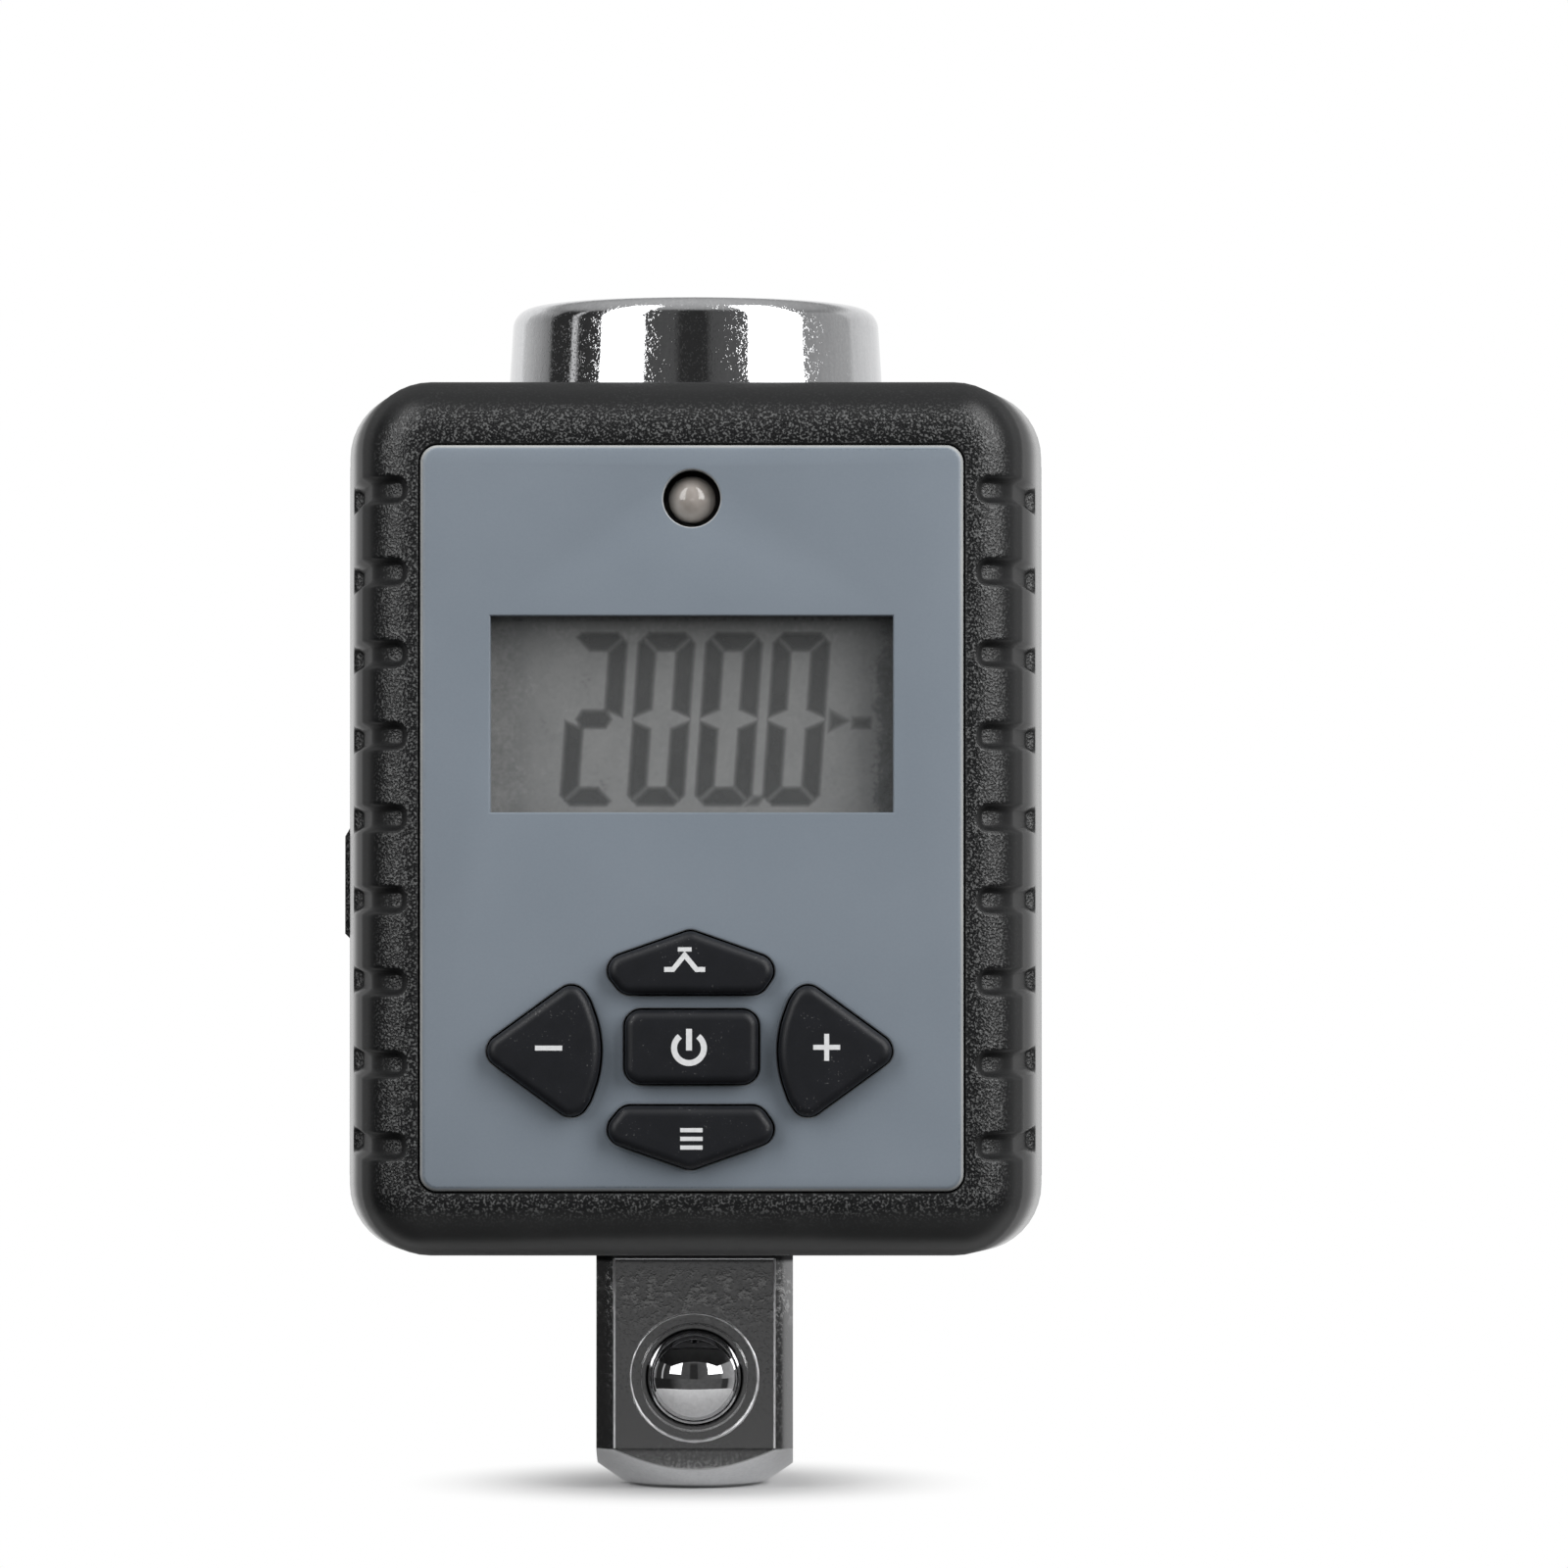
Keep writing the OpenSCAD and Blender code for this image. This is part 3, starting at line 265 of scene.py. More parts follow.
# Soft boxes: azimuth, width and radiance of each, and their distance and heights
SOFT_BOXES = [(-45.5, 0.18, 3.6), (51.5, 0.235, 4.4)]
BOX_AWAY = 0.35
BOX_LOW = 0.055
BOX_HIGH = 0.75

# Floor: its radius, and between which distances from the middle it turns white for the camera
FLOOR_R = 22.0
FLOOR_FADE = (3.0, 20.0)
FLOOR_GREY = 0.86


def rounded(points, by=0.0, radii=KEY_R):
    """Outline with rounded corners and its edges moved inwards; a list of radii has one for each corner."""
    out = []
    if not isinstance(radii, list):
        radii = [radii] * len(points)
    for i, (point, r) in enumerate(zip(points, radii)):
        p = Vector(point)
        u = (Vector(points[i - 1]) - p).normalized()
        v = (Vector(points[(i + 1) % len(points)]) - p).normalized()
        half = u.angle(v) / 2
        centre = p + (u + v).normalized() * (r / math.sin(half))
        first = p + u * (r / math.tan(half)) - centre
        last = p + v * (r / math.tan(half)) - centre
        for k in range(ARC_STEPS + 1):
            way = first.lerp(last, k / ARC_STEPS).normalized()
            out.append(centre + way * (r - by))
    return out


def rectangle(half_w, half_h, up=0.0):
    """Corners of a rectangle, anticlockwise as seen from the front."""
    top, low = up + half_h, up - half_h
    return [(half_w, top), (-half_w, top), (-half_w, low), (half_w, low)]


def circle(r, up=0.0, count=48):
    """Points of a circle about the middle line, anticlockwise from its right side."""
    turn = 2 * math.pi / count
    return [(r * math.cos(k * turn), up + r * math.sin(k * turn)) for k in range(count)]


def key_outlines():
    """Sharp corners of each key and the radius of each corner, from the keypad's centre."""
    power = rectangle(*POWER_HALF)
    peak = list(ARROW)
    menu = [(x, -z - MENU_DROP) for x, z in reversed(peak)]
    side_r = (SIDE_HALF ** 2 + SIDE_BULGE ** 2) / (2 * SIDE_BULGE)
    sweep = math.asin(SIDE_HALF / side_r)
    turns = [sweep * (2 * k / SIDE_STEPS - 1) for k in range(SIDE_STEPS + 1)]
    bulge = [(-SIDE_NEAR - side_r * (1 - math.cos(a)), side_r * math.sin(a) - SIDE_DROP) for a in turns]
    minus = [(-SIDE_TIP, -SIDE_DROP)] + bulge
    outer, inner = (share * side_r for share in SIDE_ROUND)
    side_radii = [KEY_R, KEY_R, outer] + [inner] * (SIDE_STEPS - 3) + [outer, KEY_R]
    plus = [(-x - PLUS_INWARD, z) for x, z in reversed(minus)]
    plain = [KEY_R] * len(peak)
    return {
        "power_key": (power, plain[:4]),
        "peak_key": (peak, plain),
        "menu_key": (menu, plain),
        "minus_key": (minus, side_radii),
        "plus_key": (plus, side_radii[::-1]),
    }


def solid_piece(name, verts, faces, material, body, slot, replaced=(), sharp=SHARP):
    """A mesh object from points in millimetres that rides on a body."""
    mesh = bpy.data.meshes.new(name)
    mesh.from_pydata([Vector(v) * MM for v in verts], [], faces)
    work = bmesh.new()
    work.from_mesh(mesh)
    bmesh.ops.recalc_face_normals(work, faces=work.faces)
    work.to_mesh(mesh)
    work.free()
    mesh.shade_smooth()
    mesh.set_sharp_from_angle(angle=math.radians(sharp))
    obj = bpy.data.objects.new(name, mesh)
    bpy.context.scene.collection.objects.link(obj)
    mesh.materials.append(material)
    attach(obj, body)
    if replaced:
        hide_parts(*replaced)
    return obj


def point_values(obj, name, values):
    """Keeps one number for each point of a mesh, which its material reads."""
    obj.data.attributes.new(name, "FLOAT", "POINT").data.foreach_set("value", values)


def bridged(rings, closed=False, caps=False):
    """Points and faces of a skin over rings that have as many points each."""
    n = len(rings[0])
    verts = [p for ring in rings for p in ring]
    faces = []
    spans = len(rings) if closed else len(rings) - 1
    for k in range(spans):
        a, b = k * n, (k + 1) % len(rings) * n
        for i in range(n):
            j = (i + 1) % n
            faces.append((a + i, a + j, b + j, b + i))
    if caps:
        faces.append(tuple(range(n - 1, -1, -1)))
        faces.append(tuple(range(len(verts) - n, len(verts))))
    return verts, faces


def fan(verts, faces, n, middle):
    """Closes the last ring of n points with triangles to one point in its middle."""
    first = len(verts) - n
    verts.append(middle)
    faces.extend((first + i, first + (i + 1) % n, len(verts) - 1) for i in range(n))
    return verts, faces


def sheet_with_holes(outlines, y_front, y_back, up):
    """A flat plate; the first outline is its edge, and the others are holes."""
    flat = [[Vector((p[0], p[1], 0)) for p in line] for line in outlines]
    triangles = tessellate_polygon(flat)
    points = [p for line in flat for p in line]
    n = len(points)
    verts = [(p.x, -y, up + p.y) for y in (y_front, y_back) for p in points]
    faces = [tuple(t) for t in triangles] + [tuple(i + n for i in t) for t in triangles]
    start = 0
    for line in flat:
        for i in range(len(line)):
            a, b = start + i, start + (i + 1) % len(line)
            faces.append((a, b, b + n, a + n))
        start += len(line)
    return verts, faces


def edge_offset(line, by, r):
    """A corner list and its radius, moved by a distance, as an outline."""
    return rounded(line, by, r) if r else offset_outline(line, -by)


def plate_loops():
    """Corners, direction of the metal, corner radius and painted edge highlight of the plate's outline and of
    each hole.
    """
    down = PAD_Z - MID_Z
    loops = [(rectangle(*PLATE_HALF), 1, PLATE_R, 1.0)]
    loops.append((rectangle(*WINDOW_HALF, WINDOW_UP), -1, 0, WINDOW_EDGE_LIGHT))
    loops.append((circle(LAMP_HOLE_R, LAMP_UP, count=64), -1, 0, 1.0))
    for line, radii in key_outlines().values():
        loops.append(([(x, z + down) for x, z in line], -1, radii, KEY_EDGE_LIGHT))
    return loops


def plate_rings(line, way, r, light_share):
    """Rings of one rounded edge of the plate from its back to its front, and how much painted highlight each
    ring gets.
    """
    edge = PLATE_EDGE if way > 0 else HOLE_EDGE
    of_key = isinstance(r, list)
    gap = KEY_GAP if of_key else 0.0

    def ring(inset, y):
        return [Vector((p.x, -y, MID_Z + p.y)) for p in edge_offset(line, way * inset - gap, r)]

    turns = [math.radians(turn) for turn in EDGE_TURNS]
    rings = [ring(0.0, PLATE_BACK + TUCK)]
    rings += [ring(edge * (1 - math.cos(a)), PLATE_FRONT - edge + edge * math.sin(a)) for a in turns]
    # Painted highlight: strongest where the edge faces sideways; round the key holes it reaches onto the
    # front as a pale rim
    least = RIM_EDGE_LIGHT if of_key else 0.0
    light_shares = [light_share] + [light_share * max(1 - turn / 90, least) for turn in EDGE_TURNS]
    if of_key:
        rings.append(ring(edge + RIM_W, PLATE_FRONT))
        light_shares.append(0.0)
    return rings, light_shares


def face_plate(material):
    """The front plate, with a soft edge round its outline and every hole."""
    verts, faces, fronts, edge_light = [], [], [], []
    for loop in plate_loops():
        rings, light_shares = plate_rings(*loop)
        new_verts, new_faces = bridged(rings)
        start, n = len(verts), len(rings[0])
        verts += new_verts
        edge_light += [w for w in light_shares for _ in range(n)]
        faces += [tuple(i + start for i in f) for f in new_faces]
        fronts.append(list(range(len(verts) - n, len(verts))))
    flat = [[Vector((verts[i].x, verts[i].z, 0)) for i in ring] for ring in fronts]
    index = [i for ring in fronts for i in ring]
    faces += [tuple(index[i] for i in t) for t in tessellate_polygon(flat)]
    obj = solid_piece("plate_skin", verts, faces, material, "case", "plate_metal", ["face_plate"])
    point_values(obj, "edge_light", edge_light)


def smooth_step(low, high, value):
    """0 below low and 1 above high, with a soft change between them."""
    t = min(max((value - low) / (high - low), 0.0), 1.0)
    return t * t * (3 - 2 * t)


def groove_heights():
    """Heights along the straight side, close together at each groove."""
    centres = [(k - (GROOVE_COUNT - 1) / 2) * GROOVE_PITCH for k in range(GROOVE_COUNT)]
    out = {-STRAIGHT_Z, STRAIGHT_Z}
    for c in centres:
        for o in GROOVE_OFFSETS:
            out.update(z for z in (c - o, c + o) if abs(z) < STRAIGHT_Z)
    return sorted(out)


def shell_ring(half_w, half_h, r, y, heights):
    """One closed ring of the shell, anticlockwise from the low right side."""
    widths = [STRAIGHT_X * (1 - 2 * k / STRAIGHT_PARTS) for k in range(STRAIGHT_PARTS + 1)]
    ring = [(half_w, z) for z in heights]

    def corner(sx, sz, start):
        for k in range(ARC_STEPS + 1):
            a = math.radians(start + 90 * k / ARC_STEPS)
            x, z = sx * (half_w - r), sz * (half_h - r)
            ring.append((x + r * math.cos(a), z + r * math.sin(a)))

    corner(1, 1, 0)
    ring.extend((x, half_h) for x in widths)
    corner(-1, 1, 90)
    ring.extend((-half_w, z) for z in reversed(heights))
    corner(-1, -1, 180)
    ring.extend((-x, -half_h) for x in widths)
    corner(1, -1, 270)
    return [Vector((x, -y, MID_Z + z)) for x, z in ring]


def shell_stations():
    """(half width, half height, corner radius, depth, direction of the side's normal) of each ring."""
    centre_y = CASE_FRONT - EDGE_R
    edge_w = CASE_HALF_W - SIDE_DRAFT * centre_y
    edge_h = CASE_HALF_H - END_DRAFT * centre_y
    w, h = POCKET_HALF
    shelf_w, shelf_h = w - SHELF_REACH[0], h - SHELF_REACH[1]
    out = [(shelf_w, shelf_h, SHELF_R, y, None) for y in (SHELF_BACK, PLATE_BACK)]
    out.append((w, h, POCKET_R, PLATE_BACK, None))
    out += [(w + by, h + by, POCKET_R, CASE_FRONT - down, None) for by, down in POCKET_MOUTH]
    for turn in SHELL_TURNS:
        a = math.radians(turn)
        inset = EDGE_R * (1 - math.cos(a))
        out.append((edge_w - inset, edge_h - inset, CORNER_R - inset, centre_y + EDGE_R * math.sin(a), a))
    side_turn = math.atan(SIDE_DRAFT)
    for y in SHELL_DEPTHS:
        out.append((CASE_HALF_W - SIDE_DRAFT * y, CASE_HALF_H - END_DRAFT * y, CORNER_R, y, side_turn))
    out += [(CASE_HALF_W - by, CASE_HALF_H - by, CORNER_R - by, y, None) for by, y in SEAM_EDGE]
    inner = (CASE_HALF_W - 2 * WALL, CASE_HALF_H - WALL - SEAM_TAPER, CORNER_R - WALL)
    out.append((*inner, SHELF_BACK, None))
    return out


def groove_cut(p):
    """Share of the groove's depth at a point of the straight sides."""
    if abs(p.z - MID_Z) > STRAIGHT_Z or abs(p.x) < STRAIGHT_X:
        return 0.0
    row = round((p.z - MID_Z) / GROOVE_PITCH) * GROOVE_PITCH
    across = abs(p.z - MID_Z - row)
    wall = 1 - smooth_step(GROOVE_FLOOR_HALF, GROOVE_MOUTH_HALF, across)
    inner = smooth_step(*GROOVE_STARTS, abs(p.x) - GROOVE_ROUND * across ** 2)
    outer = smooth_step(*GROOVE_ENDS, -p.y)
    return wall * inner * outer


def front_shell(material):
    """The front shell with its grip grooves, and how deep each of its points is sunk in a groove."""
    heights = groove_heights()
    rings, sunk = [], []
    for *form, y, turn in shell_stations():
        ring = shell_ring(*form, y, heights)
        for p in ring:
            share = groove_cut(p) if turn is not None else 0.0
            sunk.append(share)
            if share:
                cut = GROOVE_DEEP * share
                side = math.copysign(1, p.x)
                p.x -= side * cut * math.cos(turn)
                p.y += cut * math.sin(turn)
        rings.append(ring)
    mesh = bridged(rings, closed=True)
    obj = solid_piece("front_shell", *mesh, material, "case", "case_plastic", ["front_housing"])
    point_values(obj, "sunk", sunk)
    bore(obj, HEAD_HOLE_R, MID_Z + CASE_HALF_H)
    bore(obj, NECK_HOLE_R, MID_Z - CASE_HALF_H)


def front_shelf(material):
    """The front shell's shelf behind the plate, open at the window, the lamp and the keys."""
    edge = rounded(rectangle(*(half - SHELF_GAP for half in POCKET_HALF)))
    holes = key_hole_outlines()
    holes.append(rectangle(*(half + WINDOW_RIM for half in WINDOW_HALF), WINDOW_UP))
    holes.append(circle(LAMP_HOLE_R, LAMP_UP))
    sheet = sheet_with_holes([edge] + holes, PLATE_BACK - TUCK, SHELF_BACK, MID_Z)
    solid_piece("front_shelf", *sheet, material, "case", "case_plastic")


def key_hole_outlines():
    """Outlines of the five key holes, from the case's middle."""
    down = PAD_Z - MID_Z
    holes = [rounded(line, -KEY_GAP, radii) for line, radii in key_outlines().values()]
    return [[(p.x, p.y + down) for p in hole] for hole in holes]


def bore(obj, r, z):
    """Cuts a round hole up the drive axis through the shell's wall at a height."""
    cutter = bpy.data.meshes.new("cutter")
    work = bmesh.new()
    size = {"radius1": r * MM, "radius2": r * MM, "depth": 6 * WALL * MM}
    bmesh.ops.create_cone(work, cap_ends=True, segments=BORE_SIDES, **size)
    bmesh.ops.translate(work, verts=work.verts, vec=(0, 0, z * MM))
    work.to_mesh(cutter)
    work.free()
    tool = bpy.data.objects.new("cutter", cutter)
    bpy.context.scene.collection.objects.link(tool)
    cut = obj.modifiers.new("bore", "BOOLEAN")
    cut.operation = "DIFFERENCE"
    cut.solver = "EXACT"
    cut.object = tool
    bpy.context.view_layer.update()
    shape = obj.evaluated_get(bpy.context.evaluated_depsgraph_get())
    made = bpy.data.meshes.new_from_object(shape)
    obj.modifiers.clear()
    obj.data = made
    bpy.data.objects.remove(tool)
    made.set_sharp_from_angle(angle=math.radians(SHARP))


def key_mesh(points, radii):
    """A key from its flange to its crowned top."""
    def ring(by, y):
        return [Vector((p.x, -y, PAD_Z + p.y)) for p in rounded(points, by, radii)]

    reach, back, front = KEY_FLANGE
    crown_w, crown_h = KEY_CROWN
    rings = [ring(-reach, back), ring(-reach, front), ring(0, front + TUCK), ring(0, KEY_TOP - crown_h)]
    for k in range(1, KEY_CROWN_STEPS + 1):
        a = math.pi / 2 * k / KEY_CROWN_STEPS
        rings.append(ring(crown_w * (1 - math.cos(a)), KEY_TOP - crown_h * (1 - math.sin(a))))
    top = rings[-1]
    middle = sum(top, Vector()) / len(top)
    rings += [[p.lerp(middle, share) for p in top] for share in KEY_FILL]
    verts, faces = bridged(rings)
    return fan(verts, faces, len(rings[0]), middle)


def stroke(path, width):
    """A line of some width along a path, as quads that meet on the mitre of each bend."""
    points = [Vector(p) for p in path]
    pairs = []
    for i, p in enumerate(points):
        came = (p - points[max(i - 1, 0)]).normalized()
        goes = (points[min(i + 1, len(points) - 1)] - p).normalized()
        way = (came + goes).normalized()
        square = came if came.length else goes
        side = way.orthogonal() * (width / 2 / max(way.dot(square), STROKE_BEND))
        pairs.append((p + side, p - side))
    return [[a[0], b[0], b[1], a[1]] for a, b in zip(pairs, pairs[1:])]


def symbol_quads():
    """Flat white symbols, from the keypad's centre."""
    x, arm, half = PLUS_X, PLUS_ARM, SYMBOL_BAR / 2
    plus = stroke([(x - arm, 0), (x + arm, 0)], SYMBOL_BAR)
    plus += stroke([(x, half), (x, arm)], SYMBOL_BAR) + stroke([(x, -arm), (x, -half)], SYMBOL_BAR)
    x, z = POWER_MIDDLE
    start, sweep, parts = POWER_SWEEP
    turns = [math.radians(start + sweep * k / parts) for k in range(parts + 1)]
    arc = [(x + POWER_RING_R * math.cos(a), z + POWER_RING_R * math.sin(a)) for a in turns]
    rows = [MENU_Z + MENU_STEP * k for k in (-1, 0, 1)]
    return {
        "minus_key": stroke(MINUS_LINE, SYMBOL_BAR),
        "plus_key": plus,
        "power_key": stroke(arc, THICK_BAR) + stroke(POWER_LINE, THICK_BAR),
        "peak_key": stroke(PEAK_WAVE, SYMBOL_BAR) + stroke(PEAK_LINE, THIN_BAR),
        "menu_key": [q for z in rows for q in stroke([(-MENU_HALF, z), (MENU_HALF, z)], THIN_BAR)],
    }


def prism_mesh(quads, y_front, y_back, up):
    """A thin prism on each quad, open at its hidden back."""
    verts, faces = [], []
    for quad in quads:
        n = len(verts)
        for y in (y_front, y_back):
            verts.extend((p.x, -y, up + p.y) for p in quad)
        faces.append((n, n + 1, n + 2, n + 3))
        for i in range(4):
            j = (i + 1) % 4
            faces.append((n + i, n + j, n + 4 + j, n + 4 + i))
    return verts, faces


def keys(rubber, paint):
    """Each key's cap and the white symbol on it."""
    symbols = symbol_quads()
    for name, (points, radii) in key_outlines().items():
        mesh = key_mesh(points, radii)
        solid_piece(name + "_cap", *mesh, rubber, name, "key_rubber", [name], SHARP_KEY)
        mark = prism_mesh(symbols[name], KEY_TOP + SYMBOL_LIFT, KEY_TOP - TUCK / 2, PAD_Z)
        solid_piece(name + "_symbol", *mark, paint, name, "key_rubber")


def bar_mesh(path, thick, closed=False):
    """A round bar along a path; thick gives its radius at each point."""
    rings = []
    n = len(path)
    for i, (p, r) in enumerate(zip(path, thick)):
        before = path[i - 1] if closed or i else p
        after = path[(i + 1) % n] if closed or i < n - 1 else p
        way = (after - before).normalized()
        out = Vector((0, -1, 0))
        side = way.cross(out)
        turns = [2 * math.pi * k / BAR_SIDES for k in range(BAR_SIDES)]
        rings.append([p + r * (out * math.sin(a) + side * math.cos(a)) for a in turns])
    return bridged(rings, closed=closed, caps=not closed)


def end_height(x):
    """Height where the coned end of the square meets its front flat."""
    return END_LOW + END_SLOPE * (math.hypot(x, FLAT_FRONT) - END_R)


def flat_end(material):
    """The front flat's curved lower edge, a hair proud of the flat."""
    steps = [FLAT_HALF * (2 * k / FLAT_END_STEPS - 1) for k in range(FLAT_END_STEPS + 1)]
    line = [(x, end_height(x)) for x in steps]
    line += [(FLAT_HALF, FLAT_END_TOP), (-FLAT_HALF, FLAT_END_TOP)]
    front = FLAT_FRONT + FLAT_END_PROUD
    verts, faces = sheet_with_holes([line], front, FLAT_FRONT - FLAT_END_THICK, 0)
    sunk = [(x, y + 2 * FLAT_END_PROUD if z >= FLAT_END_TOP else y, z) for x, y, z in verts]
    solid_piece("flat_end", sunk, faces, material, "case", "chromed_steel")


def drive_ridges(material):
    """Thin bright ridges at the edges of the front flat and round the staked ball."""
    low, high = (Vector((0, -FLAT_FRONT, z)) for z in (RIDGE_LOW, RIDGE_HIGH))
    across = Vector((FLAT_HALF, 0, 0))
    lines = {"ridge_left": [low - across, high - across], "ridge_right": [low + across, high + across]}
    lines["ridge_top"] = [high - across, high + across]
    for name, path in lines.items():
        solid_piece(name, *bar_mesh(path, [RIDGE_R] * len(path)), material, "case", "chromed_steel")
    ring = [Vector((x, -FLAT_FRONT, z)) for x, z in circle(STAKE_R, BALL_Z, count=96)]
    turns = [2 * math.pi * k / len(ring) for k in range(len(ring))]
    deep, waves = RIDGE_RIPPLE
    swell = [RIDGE_SWELL * math.cos(a - RIDGE_SWELL_TURN) + deep * math.sin(waves * a) for a in turns]
    thick = [RIDGE_R * (1 + share) for share in swell]
    solid_piece("stake_ring", *bar_mesh(ring, thick, closed=True), material, "case", "chromed_steel")


def ball_spring(material):
    """The coil behind the ball."""
    first, last = SPRING_ENDS
    turn = 2 * math.pi * SPRING_TURNS / SPRING_STEPS
    path = []
    for k in range(SPRING_STEPS + 1):
        x, z = SPRING_R * math.cos(k * turn), SPRING_R * math.sin(k * turn)
        path.append(Vector((x, first + (last - first) * k / SPRING_STEPS, BALL_Z + z)))
    mesh = bar_mesh(path, [SPRING_WIRE / 2] * len(path))
    coil = solid_piece("ball_coil", *mesh, material, "case", "spring_steel", ["detent_spring"])
    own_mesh(coil)


def digit_segments():
    """The seven mitred segments of one digit: top, middle, bottom, then the four uprights."""
    half = SEGMENT_W / 2
    gap = SEGMENT_GAP
    right = DIGIT_W + half
    middle = (DIGIT_H - SEGMENT_W) / 2
    top = 2 * middle + half
    tip, slope = SEGMENT_END
    cut = SEGMENT_CUT
    bar = [(gap + cut - half, top), (right - gap - cut, top), (right - gap - cut / 2, top - cut / 2)]
    bar += [(right - gap - SEGMENT_W, top - SEGMENT_W), (gap + half, top - SEGMENT_W)]
    bar.append((gap + cut / 2 - half, top - cut / 2))
    cross = [(gap, middle), (half, middle + half), (DIGIT_W - half, middle + half)]
    cross += [(DIGIT_W - gap, middle), (DIGIT_W - half, middle - half), (half, middle - half)]
    upright = [(right - cut / 2, top - gap - cut / 2), (right, top - gap - cut), (right, middle + tip)]
    upright += [(right - SEGMENT_W, middle + tip + slope), (right - SEGMENT_W, top - gap - SEGMENT_W)]

    def flipped(line, x_way, z_way):
        return [(x if x_way > 0 else DIGIT_W - x, z if z_way > 0 else 2 * middle - z) for x, z in line]

    rows = [flipped(bar, 1, -1), cross, bar]
    return rows + [flipped(upright, x_way, z_way) for z_way in (-1, 1) for x_way in (-1, 1)]


def segment_outlines():
    """Outline of every lit segment, in display coordinates."""
    half = SEGMENT_W / 2
    half_h = (DIGIT_H - SEGMENT_W) / 2
    segments = digit_segments()
    lines = []
    for k, digit in enumerate(DIGITS):
        start = DIGITS_RIGHT - k * DIGIT_STEP
        for lit, line in zip(digit, segments):
            if lit:
                lines.append([(start + x, z) for x, z in line])
    x = DIGITS_RIGHT - half - POINT_AWAY * POINT_SIZE
    lean, top = POINT_LEAN * POINT_SIZE, POINT_TOP - half / 2
    lines.append([(x - lean, -half), (x + POINT_SIZE - lean, -half), (x + POINT_SIZE, top), (x, top)])
    lines += unit_mark_outlines(half_h)
    low = WINDOW_UP - DIGITS_DOWN - half_h
    return [[(x + DIGIT_LEAN * z, low + z) for x, z in line] for line in lines]


def unit_mark_outlines(half_h):
    """A small plain mark after the digits: a triangle and a bar."""
    x, z = DIGITS_RIGHT + DIGIT_W + UNIT_AT[0], half_h + UNIT_AT[1]
    return [[(x + dx, z + dz) for dx, dz in shape] for shape in (UNIT_TRIANGLE, UNIT_BAR)]


def blurred_ink(material):
    """Lit segments whose ink fades at the edge, on layers a hair apart."""
    verts, faces, ink = [], [], []
    lines = segment_outlines()
    for k, line in enumerate(lines):
        y = SHELF_BACK + INK_GAP + INK_LAYER * (k % INK_LAYERS)
        n = len(verts)
        size = len(line)
        centre = sum((Vector(p) for p in line), Vector((0, 0))) / size
        full = 1.0 if k < len(lines) - FAINT_COUNT else FAINT_INK
        for share, strength in INK_LEVELS:
            for p in offset_outline(line, INK_BLUR * share):
                verts.append((p.x, -y, MID_Z + p.y))
                ink.append(full * strength)
        verts.append((centre.x, -y, MID_Z + centre.y))
        ink.append(full)
        for i in range(size):
            j = (i + 1) % size
            faces.append((n + i, n + j, n + 3 * size))
            for level in (0, size):
                faces.append((n + level + i, n + level + size + i, n + level + size + j, n + level + j))
    obj = solid_piece("display_digits", verts, faces, material, "case", "lcd_ink", ["lcd_digits"])
    point_values(obj, "ink", ink)


def offset_outline(line, by):
    """Moves every edge of a convex outline outwards."""
    area = sum(line[i - 1][0] * p[1] - p[0] * line[i - 1][1] for i, p in enumerate(line))
    way = math.copysign(1, area)
    out = []
    for i, p in enumerate(line):
        p = Vector(p)
        a = (p - Vector(line[i - 1])).normalized()
        b = (Vector(line[(i + 1) % len(line)]) - p).normalized()
        side = Vector((a.y, -a.x)) + Vector((b.y, -b.x))
        lean = max(1 + a.dot(b), OUTLINE_BEND)
        out.append(p + side * (way * by / lean))
    return out


class Nodes:
    """A short way to write a node tree."""

    def __init__(self, tree):
        self.nodes = tree.nodes
        self.links = tree.links

    def source(self, kind, output):
        """One output of a new node that has nothing to set."""
        return self.nodes.new(kind).outputs[output]

    def put(self, node, socket, value):
        """Links a socket to a node's input, or sets a plain value on it."""
        if isinstance(value, bpy.types.NodeSocket):
            self.links.new(value, node.inputs[socket])
        else:
            node.inputs[socket].default_value = value

    def parts(self, vector):
        """The x, y and z of a vector."""
        node = self.nodes.new("ShaderNodeSeparateXYZ")
        self.links.new(vector, node.inputs[0])
        return node.outputs

    def maths(self, kind, a, b=0.0):
        """A sum of some kind on one or two values."""
        node = self.nodes.new("ShaderNodeMath")
        node.operation = kind
        self.put(node, 0, a)
        self.put(node, 1, b)
        return node.outputs[0]

    def times(self, a, b):
        """One value times another."""
        return self.maths("MULTIPLY", a, b)

    def shares(self, a, a_share, b, b_share):
        """Two values times their shares, added up."""
        return self.maths("ADD", self.times(a, a_share), self.times(b, b_share))

    def ramp(self, value, stops):
        """A colour by a value; each stop has red, green and blue, or one level of grey."""
        node = self.nodes.new("ShaderNodeValToRGB")
        self.links.new(value, node.inputs["Fac"])
        marks = node.color_ramp.elements
        while len(marks) < len(stops):
            marks.new(0.5)
        for mark, (at, colour) in zip(marks, stops):
            mark.position = at
            mark.color = (*colour, 1) if isinstance(colour, tuple) else (colour, colour, colour, 1)
        return node.outputs["Color"]

    def blend(self, share, a, b):
        """A colour between two others."""
        node = self.nodes.new("ShaderNodeMix")
        node.data_type = "RGBA"
        self.links.new(share, node.inputs["Factor"])
        for socket, colour in ((6, a), (7, b)):
            self.put(node, socket, colour if isinstance(colour, bpy.types.NodeSocket) else (*colour, 1))
        return node.outputs[2]

    def mix(self, share, a, b):
        """A shader between two others."""
        node = self.nodes.new("ShaderNodeMixShader")
        for i, value in enumerate((share, a, b)):
            self.links.new(value, node.inputs[i])
        return node.outputs[0]


